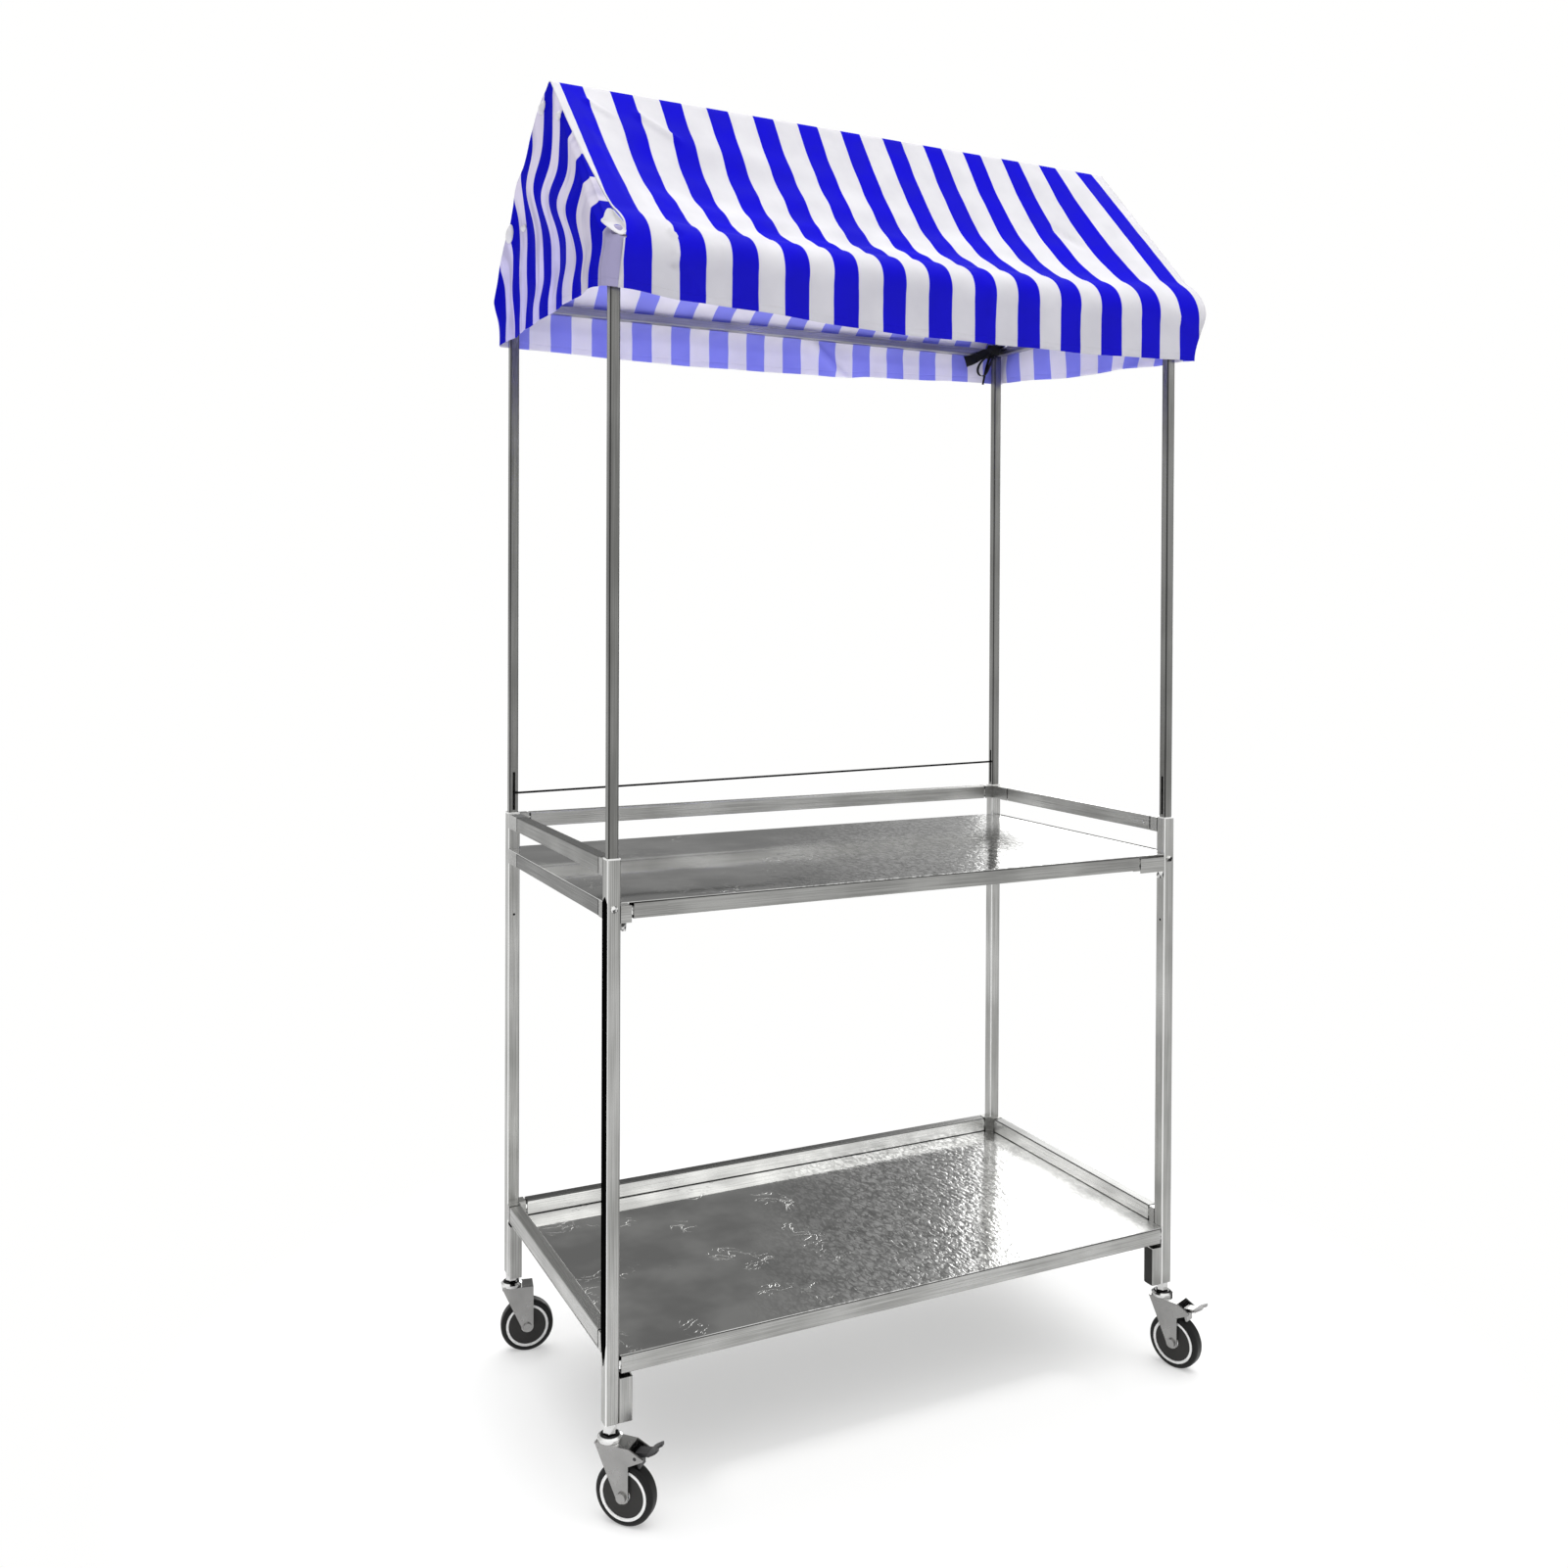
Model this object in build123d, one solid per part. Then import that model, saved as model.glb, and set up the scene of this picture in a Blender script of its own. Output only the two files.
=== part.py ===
from build123d import *
from math import cos, radians, sqrt
import os

# Driving dimensions in millimetres: floor at z 0, +Y is the back, +X is the right end

# Legs, posts and the tubes of the frame
LEG_SPAN_X = 980.0
LEG_SPAN_Y = 506.0
LEG_SIDE = 20.0
LEG_WALL = 2.0
TUBE_CORNER = 2.0
LEG_TOP_Z = 919.0
POST_SIDE = 15.0
POST_WALL = 1.2
STOP_BOLT_Z = 849.0
STOP_BOLT_R = 3.0
STOP_HEAD_R = 5.0
STOP_HEAD_H = 2.2
POST_SLOT_W = 4.5
POST_SLOT_GAP = 4.0
POST_SLOT_L = 64.0
LEG_HOLE_Z = 746.0
LEG_HOLE_R = 2.0
SEAT_GAP = 0.2

# Rails, shelves and guards
RAIL_W = 20.0
RAIL_WALL = 1.5
SHEET_T = 1.2
SHEET_NOTCH_GAP = 0.5
TRAY_TOP_Z = 230.0
TRAY_RAIL_H = 26.0
RIM_RAIL_H = 25.0
SHELF_TOP_Z = 858.0
SHELF_RAIL_H = 23.0
GUARD_TOP_Z = 917.0
GUARD_H = 24.0
RAIL_SLIT = 3.0
BRACKET_LONG = 50.0
BRACKET_SHORT = 16.0
RIM_BRACKET = 12.0
BRACKET_DROP = 5.0
BRACKET_TOP_DROP = 4.0
SPIGOT_H = 12.0
SPIGOT_DEPTH = 26.0
TAIL_LENGTH = 22.0
TAIL_TOP_W = 10.0
TAIL_TIP_W = 5.0
END_PLATE_L = 50.0
END_PLATE_T = 1.2
STUB_SIDE = 20.0
STUB_WALL = 1.5
STUB_GAP = 6.0
RIVET_R = 2.5
RIVET_H = 1.2
RIVET_INSET = 14.0

# Canopy frame and canopy cloth
EAVE_Z = 1776.0
RIDGE_Z = 2056.5
RIDGE_R = 7.5
CLOTH_T = 1.5
JOINT_PLUG = 11.8
JOINT_PLUG_L = 30.0
JOINT_CORE = 15.0
RAFTER_GAP = 22.0
ROOF_LEFT_OVER = 16.0
ROOF_RIGHT_OVER = 43.0
ROOF_TWIST_LEFT = -10.2
ROOF_TWIST_RIGHT = -17.6
STRAIGHT_LEFT = 28.0
STRAIGHT_RIGHT = 34.0
ROOF_STANDOFF = 11.3
VALANCE_OUT = 10.5
VALANCE_TOP_OUT = 6.5
VALANCE_TOP_DROP = 6.0
EAVE_MID_OUT = 4.0
EAVE_MID_RISE = 7.5
EAVE_END_OUT = 1.0
RIDGE_HALF_W = 6.5
RIDGE_CROWN = 3.3
FRONT_HEM_LEFT_L = 81.0
FRONT_HEM_L = 97.0
BACK_HEM_L = 63.0
LEFT_HEM_L = 68.0
RIGHT_HEM_L = 76.0
CLOTH_SAG = 47.0
STRAIGHT_SAG = 0.6
SAG_POWER = 5
GABLE_FOLDS = 6
FOLD_DEPTH = 2.5
SEAM_GAP = 0.3

# Tie ribbon and rear cord
RIBBON_T = 1.0
RIBBON_W = 12.0
RIBBON_INSET = 17.0
RIBBON_CORNER = 3.0
KNOT_W = 18.0
KNOT_H = 13.0
KNOT_T = 9.0
BOW_TAIL_OUT = 56.0
BOW_TAIL_DROP = 34.0
BOW_LOOP_OUT = 27.0
BOW_LOOP_DROP = 30.0
BOW_LOOP_W = 15.0
BOW_END_OUT = 23.0
BOW_END_DROP = 70.0
BOW_END_W = 6.0
CORD_R = 1.5
CORD_LEFT_RISE = 29.0
CORD_RIGHT_RISE = 41.0
CORD_TAIL = 6.0

# Casters
WHEEL_R = 44.0
WHEEL_W = 22.0
SHOULDER_R = 6.0
TYRE_T = 8.7
CORE_RING_W = 4.0
CORE_WEB_W = 8.0
COVER_INSET = 1.0
COVER_T = 2.5
HUB_R = 10.0
HUB_W = 26.0
AXLE_R = 4.0
RUN_GAP = 0.05
SIDE_GAP = 0.35
FORK_T = 2.5
FORK_HEADROOM = 24.0
CASTER_NECK_H = 23.0
FORK_LEAD = 16.0
FORK_END_R = 9.0
FORK_TRAIL_SIDE = 10.0
FORK_HEEL = 3.0
FORK_TOE = 1.5
FORK_BEAK_OUT = 32.0
FORK_BEAK_DROP = 14.0
TRAIL = 26.0
AXLE_HEAD_R = 7.0
AXLE_HEAD_H = 3.5
KINGPIN_R = 5.0
RACE_R = 17.5
RACE_H = 8.0
RACE_NECK_R = 12.25
RIVET_HEAD_R = 10.0
RIVET_HEAD_H = 3.0
STEM_NUT_SIDE = 17.0
STEM_L = 24.0
PLUG_L = 34.0
PEDAL_PIN_OUT = 20.0
PEDAL_PIN_DROP = 11.0
PEDAL_PIN_R = 2.5
PEDAL_ARM_W = 18.0
PEDAL_T = 4.0
PEDAL_TREAD_OUT = 37.0
PEDAL_TIP_OUT = 52.0
PEDAL_TIP_RISE = 6.0
PEDAL_TREAD_W = 30.0
PEDAL_NOTCH = 10.0
SHOE_GAP = 2.77
SWIVEL_DEG = {
    "front_left": -47.0,
    "front_right": -70.0,
    "back_left": -12.0,
    "back_right": -35.0,
}

# Positions that follow from the driving dimensions
HALF_X = LEG_SPAN_X / 2
HALF_Y = LEG_SPAN_Y / 2
INNER_X = HALF_X - LEG_SIDE / 2
INNER_Y = HALF_Y - LEG_SIDE / 2
OUTER_X = HALF_X + LEG_SIDE / 2
OUTER_Y = HALF_Y + LEG_SIDE / 2
CORE_R = WHEEL_R - TYRE_T
FORK_TOP_Z = 2 * WHEEL_R + FORK_HEADROOM
LEG_FOOT_Z = FORK_TOP_Z + CASTER_NECK_H
POST_SLOT_BOTTOM_Z = LEG_TOP_Z + POST_SLOT_GAP
POST_SLOT_TOP_Z = POST_SLOT_BOTTOM_Z + POST_SLOT_L
POST_FOOT_Z = STOP_BOLT_Z + STOP_BOLT_R + SEAT_GAP
POST_TOP_Z = EAVE_Z - POST_SIDE / 2 - SEAT_GAP
TRAY_RAIL_Z = TRAY_TOP_Z - SHEET_T - TRAY_RAIL_H
SHELF_RAIL_Z = SHELF_TOP_Z - SHEET_T - SHELF_RAIL_H
GUARD_Z = GUARD_TOP_Z - GUARD_H
CORNERS = {
    "front_left": (-1, -1),
    "front_right": (1, -1),
    "back_left": (-1, 1),
    "back_right": (1, 1),
}
PARTS_DIR = "parts"
os.makedirs(PARTS_DIR, exist_ok=True)


def save(name, solids):
    """Write one node; a list becomes a group of separate solids."""
    if isinstance(solids, list):
        shape = Compound(children=solids)
    else:
        shape = solids
    shape.label = name
    export_step(shape, os.path.join(PARTS_DIR, name + ".step"))


def block(x0, x1, y0, y1, z0, z1):
    """A box between two corners."""
    return Pos((x0 + x1) / 2, (y0 + y1) / 2, (z0 + z1) / 2) * Box(x1 - x0, y1 - y0, z1 - z0)


def tube_face(width, height, wall):
    """The hollow section of a tube with rounded corners."""
    inner = max(TUBE_CORNER - wall, RUN_GAP)
    return RectangleRounded(width, height, TUBE_CORNER) - RectangleRounded(
        width - 2 * wall, height - 2 * wall, inner
    )


def upright(side, wall, x, y, z0, z1):
    """A square tube that stands on z0."""
    return extrude(Pos(x, y, z0) * tube_face(side, side, wall), z1 - z0)


def lying(width, height, wall, length):
    """A tube along X, centred on x and y, with its underside on z 0."""
    face = Plane(origin=(-length / 2, 0, height / 2), x_dir=(0, 1, 0), z_dir=(1, 0, 0))
    return extrude(face * tube_face(width, height, wall), length)


def placed(solid, x, y, z, turn):
    """Turn a piece about Z, then carry it to its place."""
    return Pos(x, y, z) * Rot(0, 0, turn) * solid


def rod(radius, start, end):
    """A round bar between two points."""
    axis = Vector(*end) - Vector(*start)
    face = Plane(origin=start, z_dir=tuple(axis))
    return extrude(face * Circle(radius), axis.length)


# Legs and posts
for name, (sx, sy) in CORNERS.items():
    x, y = sx * HALF_X, sy * HALF_Y
    leg = upright(LEG_SIDE, LEG_WALL, x, y, LEG_FOOT_Z, LEG_TOP_Z)
    outer_face = y - LEG_SIDE if sy < 0 else y + LEG_SIDE
    leg -= rod(STOP_BOLT_R + SEAT_GAP, (x, y, STOP_BOLT_Z), (x, outer_face, STOP_BOLT_Z))
    if name == "back_left":
        hole_end = (x, y - LEG_SIDE, LEG_HOLE_Z)
        slot_reach = (0, -1)
    else:
        hole_end = (x - sx * LEG_SIDE, y, LEG_HOLE_Z)
        slot_reach = (-sx, 0)
    leg -= rod(LEG_HOLE_R, (x, y, LEG_HOLE_Z), hole_end)
    if sy < 0:
        slot_z = TRAY_RAIL_Z + TRAY_RAIL_H / 2
        slot_half_w = RAIL_W / 2 - RAIL_WALL
        slot_half_h = SPIGOT_H / 2 + SEAT_GAP
        x_in = x - sx * LEG_SIDE
        leg -= block(
            min(x, x_in), max(x, x_in), y - slot_half_w, y + slot_half_w,
            slot_z - slot_half_h, slot_z + slot_half_h,
        )
    save("leg_" + name, leg)
    post = upright(POST_SIDE, POST_WALL, x, y, POST_FOOT_Z, POST_TOP_Z)
    slot_x, slot_y = slot_reach
    half = POST_SLOT_W / 2
    post -= block(
        min(x - half, x + slot_x * POST_SIDE), max(x + half, x + slot_x * POST_SIDE),
        min(y - half, y + slot_y * POST_SIDE), max(y + half, y + slot_y * POST_SIDE),
        POST_SLOT_BOTTOM_Z, POST_SLOT_TOP_Z,
    )
    save("post_" + name, post)

# Rails with the brackets welded to the legs and the spigots that hold them
brackets = []
spigots = []


def rail(width, height, span, left_bracket, right_bracket, drop, tail):
    """A tube between two legs, built along X with its underside on z 0.

    Each end stops short of a bracket; a spigot bridges the slit.
    """
    left = -span / 2 + left_bracket + RAIL_SLIT
    right = span / 2 - right_bracket - RAIL_SLIT
    tube = Pos((left + right) / 2, 0, 0) * lying(width, height, RAIL_WALL, right - left)
    shoes = []
    pegs = []
    for side, length, end in ((-1, left_bracket, left), (1, right_bracket, right)):
        leg_face = side * span / 2
        if length > 0:
            far = leg_face - side * length
            x0, x1 = min(leg_face, far), max(leg_face, far)
            half = width / 2
            top = height - BRACKET_TOP_DROP if drop > 0 else height
            shoe = block(x0, x1, -half, half, -drop, top)
            lower = -drop - height
            inner_top = top - RAIL_WALL
            shoe -= block(
                x0 - height, x1 + height, -half + RAIL_WALL, half - RAIL_WALL, lower, inner_top
            )
            shoes.append(shoe)
            peg_start = leg_face - side * SEAT_GAP
        else:
            peg_start = leg_face + side * LEG_SIDE / 2
        peg_end = end - side * SPIGOT_DEPTH
        peg_half = width / 2 - RAIL_WALL - SEAT_GAP
        z_mid = height / 2
        peg = block(
            min(peg_start, peg_end), max(peg_start, peg_end), -peg_half, peg_half,
            z_mid - SPIGOT_H / 2, z_mid + SPIGOT_H / 2,
        )
        if tail and length > 0:
            tail_x = leg_face - side * (SEAT_GAP + TAIL_TOP_W / 2)
            tail_top = z_mid - SPIGOT_H / 2 + SEAT_GAP
            outline = Polyline(
                (-TAIL_TOP_W / 2, 0), (TAIL_TOP_W / 2, 0),
                (TAIL_TIP_W / 2, -TAIL_LENGTH), (-TAIL_TIP_W / 2, -TAIL_LENGTH), close=True,
            )
            face = Plane(origin=(tail_x, -peg_half, tail_top), x_dir=(1, 0, 0), z_dir=(0, -1, 0))
            wedge = extrude(face * make_face(outline), -peg_half)
            peg += wedge
        pegs.append(peg)
    return tube, shoes, pegs


def add_rail(made, x, y, z, turn):
    """Place a rail with its brackets and spigots; only the tube is its own node."""
    tube, shoes, pegs = made
    for shoe in shoes:
        brackets.append(placed(shoe, x, y, z, turn))
    for peg in pegs:
        spigots.append(placed(peg, x, y, z, turn))
    return placed(tube, x, y, z, turn)


long_span = 2 * INNER_X
short_span = 2 * INNER_Y
tray_front = rail(RAIL_W, TRAY_RAIL_H, long_span, 0, 0, 0, False)
save("tray_rail_front", add_rail(tray_front, 0, -HALF_Y, TRAY_RAIL_Z, 0))
rim_z = TRAY_TOP_Z
rim_long = rail(RAIL_W, RIM_RAIL_H, long_span, RIM_BRACKET, RIM_BRACKET, 0, False)
save("tray_rail_back", add_rail(rim_long, 0, HALF_Y, rim_z, 0))
rim_short = rail(RAIL_W, RIM_RAIL_H, short_span, RIM_BRACKET, RIM_BRACKET, 0, False)
save("tray_rail_left", add_rail(rim_short, -HALF_X, 0, rim_z, 90))
save("tray_rail_right", add_rail(rim_short, HALF_X, 0, rim_z, 90))

shelf_front = rail(
    RAIL_W, SHELF_RAIL_H, long_span, BRACKET_SHORT, BRACKET_LONG, BRACKET_DROP, True
)
shelf_front_rail = add_rail(shelf_front, 0, -HALF_Y, SHELF_RAIL_Z, 0)
plate_x = -INNER_X + BRACKET_SHORT + RAIL_SLIT
plate_z = SHELF_RAIL_Z + SHELF_RAIL_H / 2
end_plate = extrude(
    Plane(
        origin=(plate_x + END_PLATE_L / 2, -OUTER_Y, plate_z), x_dir=(1, 0, 0), z_dir=(0, -1, 0)
    )
    * RectangleRounded(END_PLATE_L, SHELF_RAIL_H - RAIL_WALL, RAIL_SLIT),
    END_PLATE_T,
)
save("shelf_rail_front", shelf_front_rail + end_plate)
shelf_back = rail(RAIL_W, SHELF_RAIL_H, long_span, BRACKET_SHORT, BRACKET_SHORT, 0, False)
save("shelf_rail_back", add_rail(shelf_back, 0, HALF_Y, SHELF_RAIL_Z, 0))
shelf_side = rail(RAIL_W, SHELF_RAIL_H, short_span, BRACKET_SHORT, BRACKET_LONG, 0, False)
save("shelf_rail_left", add_rail(shelf_side, -HALF_X, 0, SHELF_RAIL_Z, 90))
shelf_side = rail(RAIL_W, SHELF_RAIL_H, short_span, BRACKET_SHORT, BRACKET_LONG, 0, False)
save("shelf_rail_right", add_rail(shelf_side, HALF_X, 0, SHELF_RAIL_Z, 90))

guard_back = rail(RAIL_W, GUARD_H, long_span, BRACKET_SHORT, BRACKET_SHORT, 0, False)
save("guard_rail_back", add_rail(guard_back, 0, HALF_Y, GUARD_Z, 0))
guard_side = rail(RAIL_W, GUARD_H, short_span, BRACKET_SHORT, BRACKET_LONG, 0, False)
save("guard_rail_left", add_rail(guard_side, -HALF_X, 0, GUARD_Z, 90))
guard_side = rail(RAIL_W, GUARD_H, short_span, BRACKET_SHORT, BRACKET_LONG, 0, False)
save("guard_rail_right", add_rail(guard_side, HALF_X, 0, GUARD_Z, 90))
save("rail_brackets", brackets)
save("rail_spigots", spigots)


def sheet(top_z):
    """A polished sheet notched round the four legs."""
    plate = block(-OUTER_X, OUTER_X, -OUTER_Y, OUTER_Y, top_z - SHEET_T, top_z)
    notch = LEG_SIDE + SHEET_NOTCH_GAP
    for sx, sy in CORNERS.values():
        x0, x1 = sorted((sx * OUTER_X, sx * (OUTER_X - notch)))
        y0, y1 = sorted((sy * OUTER_Y, sy * (OUTER_Y - notch)))
        plate -= block(x0, x1, y0, y1, top_z - 2 * SHEET_T, top_z + SHEET_T)
    return plate


save("tray_sheet", sheet(TRAY_TOP_Z))
save("shelf_sheet", sheet(SHELF_TOP_Z))

# Foot stubs beside the legs, plugs in the leg ends, stop bolts and rivets
stubs = []
plugs = []
bolts = []
for name, (sx, sy) in CORNERS.items():
    x, y = sx * HALF_X, sy * HALF_Y
    if sy < 0:
        stub_x, stub_y = x - sx * (LEG_SIDE + STUB_SIDE) / 2, y
        stub_top = TRAY_RAIL_Z - STUB_GAP
    else:
        stub_x, stub_y = x, y - (LEG_SIDE + STUB_SIDE) / 2
        stub_top = TRAY_TOP_Z - SHEET_T - STUB_GAP
    stubs.append(upright(STUB_SIDE, STUB_WALL, stub_x, stub_y, LEG_FOOT_Z, stub_top))
    plug_side = LEG_SIDE - 2 * LEG_WALL - SEAT_GAP
    plug = block(
        x - plug_side / 2, x + plug_side / 2, y - plug_side / 2, y + plug_side / 2,
        LEG_FOOT_Z, LEG_FOOT_Z + PLUG_L,
    )
    plug -= rod(KINGPIN_R + RUN_GAP, (x, y, LEG_FOOT_Z), (x, y, LEG_FOOT_Z + STEM_L + SEAT_GAP))
    plugs.append(plug)
    out = OUTER_Y * sy
    tip = y - sy * (LEG_SIDE / 2 - LEG_WALL - SEAT_GAP)
    shank = rod(STOP_BOLT_R, (x, tip, STOP_BOLT_Z), (x, out, STOP_BOLT_Z))
    head = rod(STOP_HEAD_R, (x, out, STOP_BOLT_Z), (x, out + sy * STOP_HEAD_H, STOP_BOLT_Z))
    bolts.append(shank + head)
for sx in (-1, 1):
    front_end = -INNER_Y + BRACKET_SHORT + RAIL_SLIT + RIVET_INSET
    inside = sx * INNER_X
    z = GUARD_Z + GUARD_H / 2
    bolts.append(
        rod(RIVET_R, (inside, front_end, z), (inside - sx * RIVET_H, front_end, z))
    )
save("foot_stubs", stubs)
save("leg_foot_plugs", plugs)
save("frame_bolts", bolts)

# Canopy frame: eave rails, gable rails, rafters, ridge tube and the joints in their ends
eave_length = LEG_SPAN_X - JOINT_CORE - 2 * SEAT_GAP
eave_z = EAVE_Z - POST_SIDE / 2
eave = lying(POST_SIDE, POST_SIDE, POST_WALL, eave_length)
save("eave_rail_front", placed(eave, 0, -HALF_Y, eave_z, 0))
save("eave_rail_back", placed(eave, 0, HALF_Y, eave_z, 0))
slope = Vector(0, HALF_Y, RIDGE_Z - EAVE_Z)
slope_dir = slope.normalized()
pitch_cos, pitch_sin = slope_dir.Y, slope_dir.Z
pitch_tan = pitch_sin / pitch_cos
gable_end_gap = POST_SIDE / 2 * (1 + 1 / pitch_cos) / pitch_tan + SEAT_GAP
gable_length = LEG_SPAN_Y - 2 * gable_end_gap
gable = lying(POST_SIDE, POST_SIDE, POST_WALL, gable_length)
save("gable_rails", [placed(gable, sx * HALF_X, 0, eave_z, 90) for sx in (-1, 1)])
ridge_length = LEG_SPAN_X - JOINT_CORE - 2 * SEAT_GAP
ridge = rod(RIDGE_R, (-ridge_length / 2, 0, RIDGE_Z), (ridge_length / 2, 0, RIDGE_Z))
ridge -= rod(
    RIDGE_R - POST_WALL, (-ridge_length / 2, 0, RIDGE_Z), (ridge_length / 2, 0, RIDGE_Z)
)
save("ridge_tube", ridge)

rafters = []
joints = []
for sx in (-1, 1):
    x = sx * HALF_X
    for sy in (-1, 1):
        up = Vector(0, -sy * slope_dir.Y, slope_dir.Z)
        start = Vector(x, sy * HALF_Y, EAVE_Z) + up * RAFTER_GAP
        length = slope.length - 2 * RAFTER_GAP
        face = Plane(origin=tuple(start), x_dir=(1, 0, 0), z_dir=tuple(up))
        rafters.append(extrude(face * tube_face(POST_SIDE, POST_SIDE, POST_WALL), length))
        core = Pos(x, sy * HALF_Y, EAVE_Z) * Box(JOINT_CORE, JOINT_CORE, JOINT_CORE)
        reach = JOINT_CORE / 2 + JOINT_PLUG_L
        half = JOINT_PLUG / 2
        y = sy * HALF_Y
        core += block(
            x - half, x + half, y - half, y + half, EAVE_Z - reach, EAVE_Z
        )
        x0, x1 = sorted((x, x - sx * reach))
        core += block(x0, x1, y - half, y + half, EAVE_Z - half, EAVE_Z + half)
        y0, y1 = sorted((y, y - sy * reach))
        core += block(x - half, x + half, y0, y1, EAVE_Z - half, EAVE_Z + half)
        seat = Plane(origin=(x, y, EAVE_Z), x_dir=(1, 0, 0), z_dir=tuple(up))
        core += extrude(seat * Rectangle(JOINT_PLUG, JOINT_PLUG), RAFTER_GAP + JOINT_PLUG_L)
        joints.append(core)
    peak = rod(
        JOINT_CORE / 2, (x - JOINT_CORE / 2, 0, RIDGE_Z), (x + JOINT_CORE / 2, 0, RIDGE_Z)
    )
    for sy in (-1, 1):
        down = Vector(0, sy * slope_dir.Y, -slope_dir.Z)
        seat = Plane(origin=(x, 0, RIDGE_Z), x_dir=(1, 0, 0), z_dir=tuple(down))
        peak += extrude(seat * Rectangle(JOINT_PLUG, JOINT_PLUG), RAFTER_GAP + JOINT_PLUG_L)
    bar_r = RIDGE_R - POST_WALL - SEAT_GAP
    reach = JOINT_CORE / 2 + JOINT_PLUG_L
    peak += rod(bar_r, (x, 0, RIDGE_Z), (x - sx * reach, 0, RIDGE_Z))
    joints.append(peak)
save("canopy_rafters", rafters)
save("canopy_joints", joints)

# Canopy cloth: a ruled skin through cross-sections, straight over the end rafters
post_face_y = HALF_Y + POST_SIDE / 2
valance_y = post_face_y + VALANCE_OUT
valance_top_y = post_face_y + VALANCE_TOP_OUT
valance_top_z = EAVE_Z - VALANCE_TOP_DROP
eave_end_y = HALF_Y + EAVE_END_OUT
skin_peak_z = RIDGE_Z + ROOF_STANDOFF / pitch_cos
eave_end_z = skin_peak_z - eave_end_y * pitch_tan
ridge_end_z = skin_peak_z - RIDGE_HALF_W * pitch_tan
ridge_top_z = ridge_end_z + RIDGE_CROWN
roof_left_x = -HALF_X - ROOF_LEFT_OVER
roof_right_x = HALF_X + ROOF_RIGHT_OVER
sag_left_x = -HALF_X + STRAIGHT_LEFT
sag_right_x = HALF_X - STRAIGHT_RIGHT
SAG_STEPS = (-1, -0.85, -0.65, -0.33, 0, 0.33, 0.65, 0.85, 1)


def skewed(x_mid, y, z):
    """A point of a cross-section, moved along X by the twist of the cover."""
    share = (x_mid - roof_left_x) / (roof_right_x - roof_left_x)
    twist = ROOF_TWIST_LEFT + share * (ROOF_TWIST_RIGHT - ROOF_TWIST_LEFT)
    return (x_mid + twist * y / valance_y, y, z)


def roof_half(side, inset, sag, hem_l):
    """Points of one half of the section from hem to ridge: (y, z) pairs."""
    in_y = inset * pitch_sin
    in_z = inset * pitch_cos
    mid_y = (eave_end_y + RIDGE_HALF_W) / 2 - in_y
    mid_z = (eave_end_z + ridge_end_z) / 2 - sag - in_z
    return [
        (side * (valance_y - inset), EAVE_Z - hem_l),
        (side * (valance_top_y - inset), valance_top_z),
        (side * (post_face_y + EAVE_MID_OUT - in_y), EAVE_Z + EAVE_MID_RISE - in_z),
        (side * (eave_end_y - in_y), eave_end_z - in_z),
        (side * mid_y, mid_z),
        (side * (RIDGE_HALF_W - in_y), ridge_end_z - in_z),
    ]


def roof_section(x_mid, sag, front_hem_l):
    """The closed outline of the cover at one station, front hem to back hem."""
    edges = []
    rows = []
    for inset in (0.0, CLOTH_T):
        front = roof_half(-1, inset, sag, front_hem_l)
        back = roof_half(1, inset, sag, BACK_HEM_L)
        top = [(0.0, ridge_top_z - inset)]
        rows.append([skewed(x_mid, y, z) for y, z in front + top + back[::-1]])
    outer, inner = rows
    for row in (outer, inner):
        edges.append(Line(row[0], row[1]))
        edges.append(ThreePointArc(row[1], row[2], row[3]))
        edges.append(ThreePointArc(row[3], row[4], row[5]))
        edges.append(ThreePointArc(row[5], row[6], row[7]))
        edges.append(ThreePointArc(row[7], row[8], row[9]))
        edges.append(ThreePointArc(row[9], row[10], row[11]))
        edges.append(Line(row[11], row[12]))
    edges.append(Line(outer[0], inner[0]))
    edges.append(Line(outer[12], inner[12]))
    return make_face(edges)


sections = [roof_section(roof_left_x, STRAIGHT_SAG, FRONT_HEM_LEFT_L)]
for step in SAG_STEPS:
    x_mid = (sag_left_x + sag_right_x) / 2 + step * (sag_right_x - sag_left_x) / 2
    share = 1 - abs(step) ** SAG_POWER
    hem_l = FRONT_HEM_L if x_mid > roof_left_x / 2 else FRONT_HEM_LEFT_L
    sections.append(roof_section(x_mid, STRAIGHT_SAG + CLOTH_SAG * share, hem_l))
sections.append(roof_section(roof_right_x, STRAIGHT_SAG, FRONT_HEM_L))
save("canopy_roof", loft(sections, ruled=True))


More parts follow.
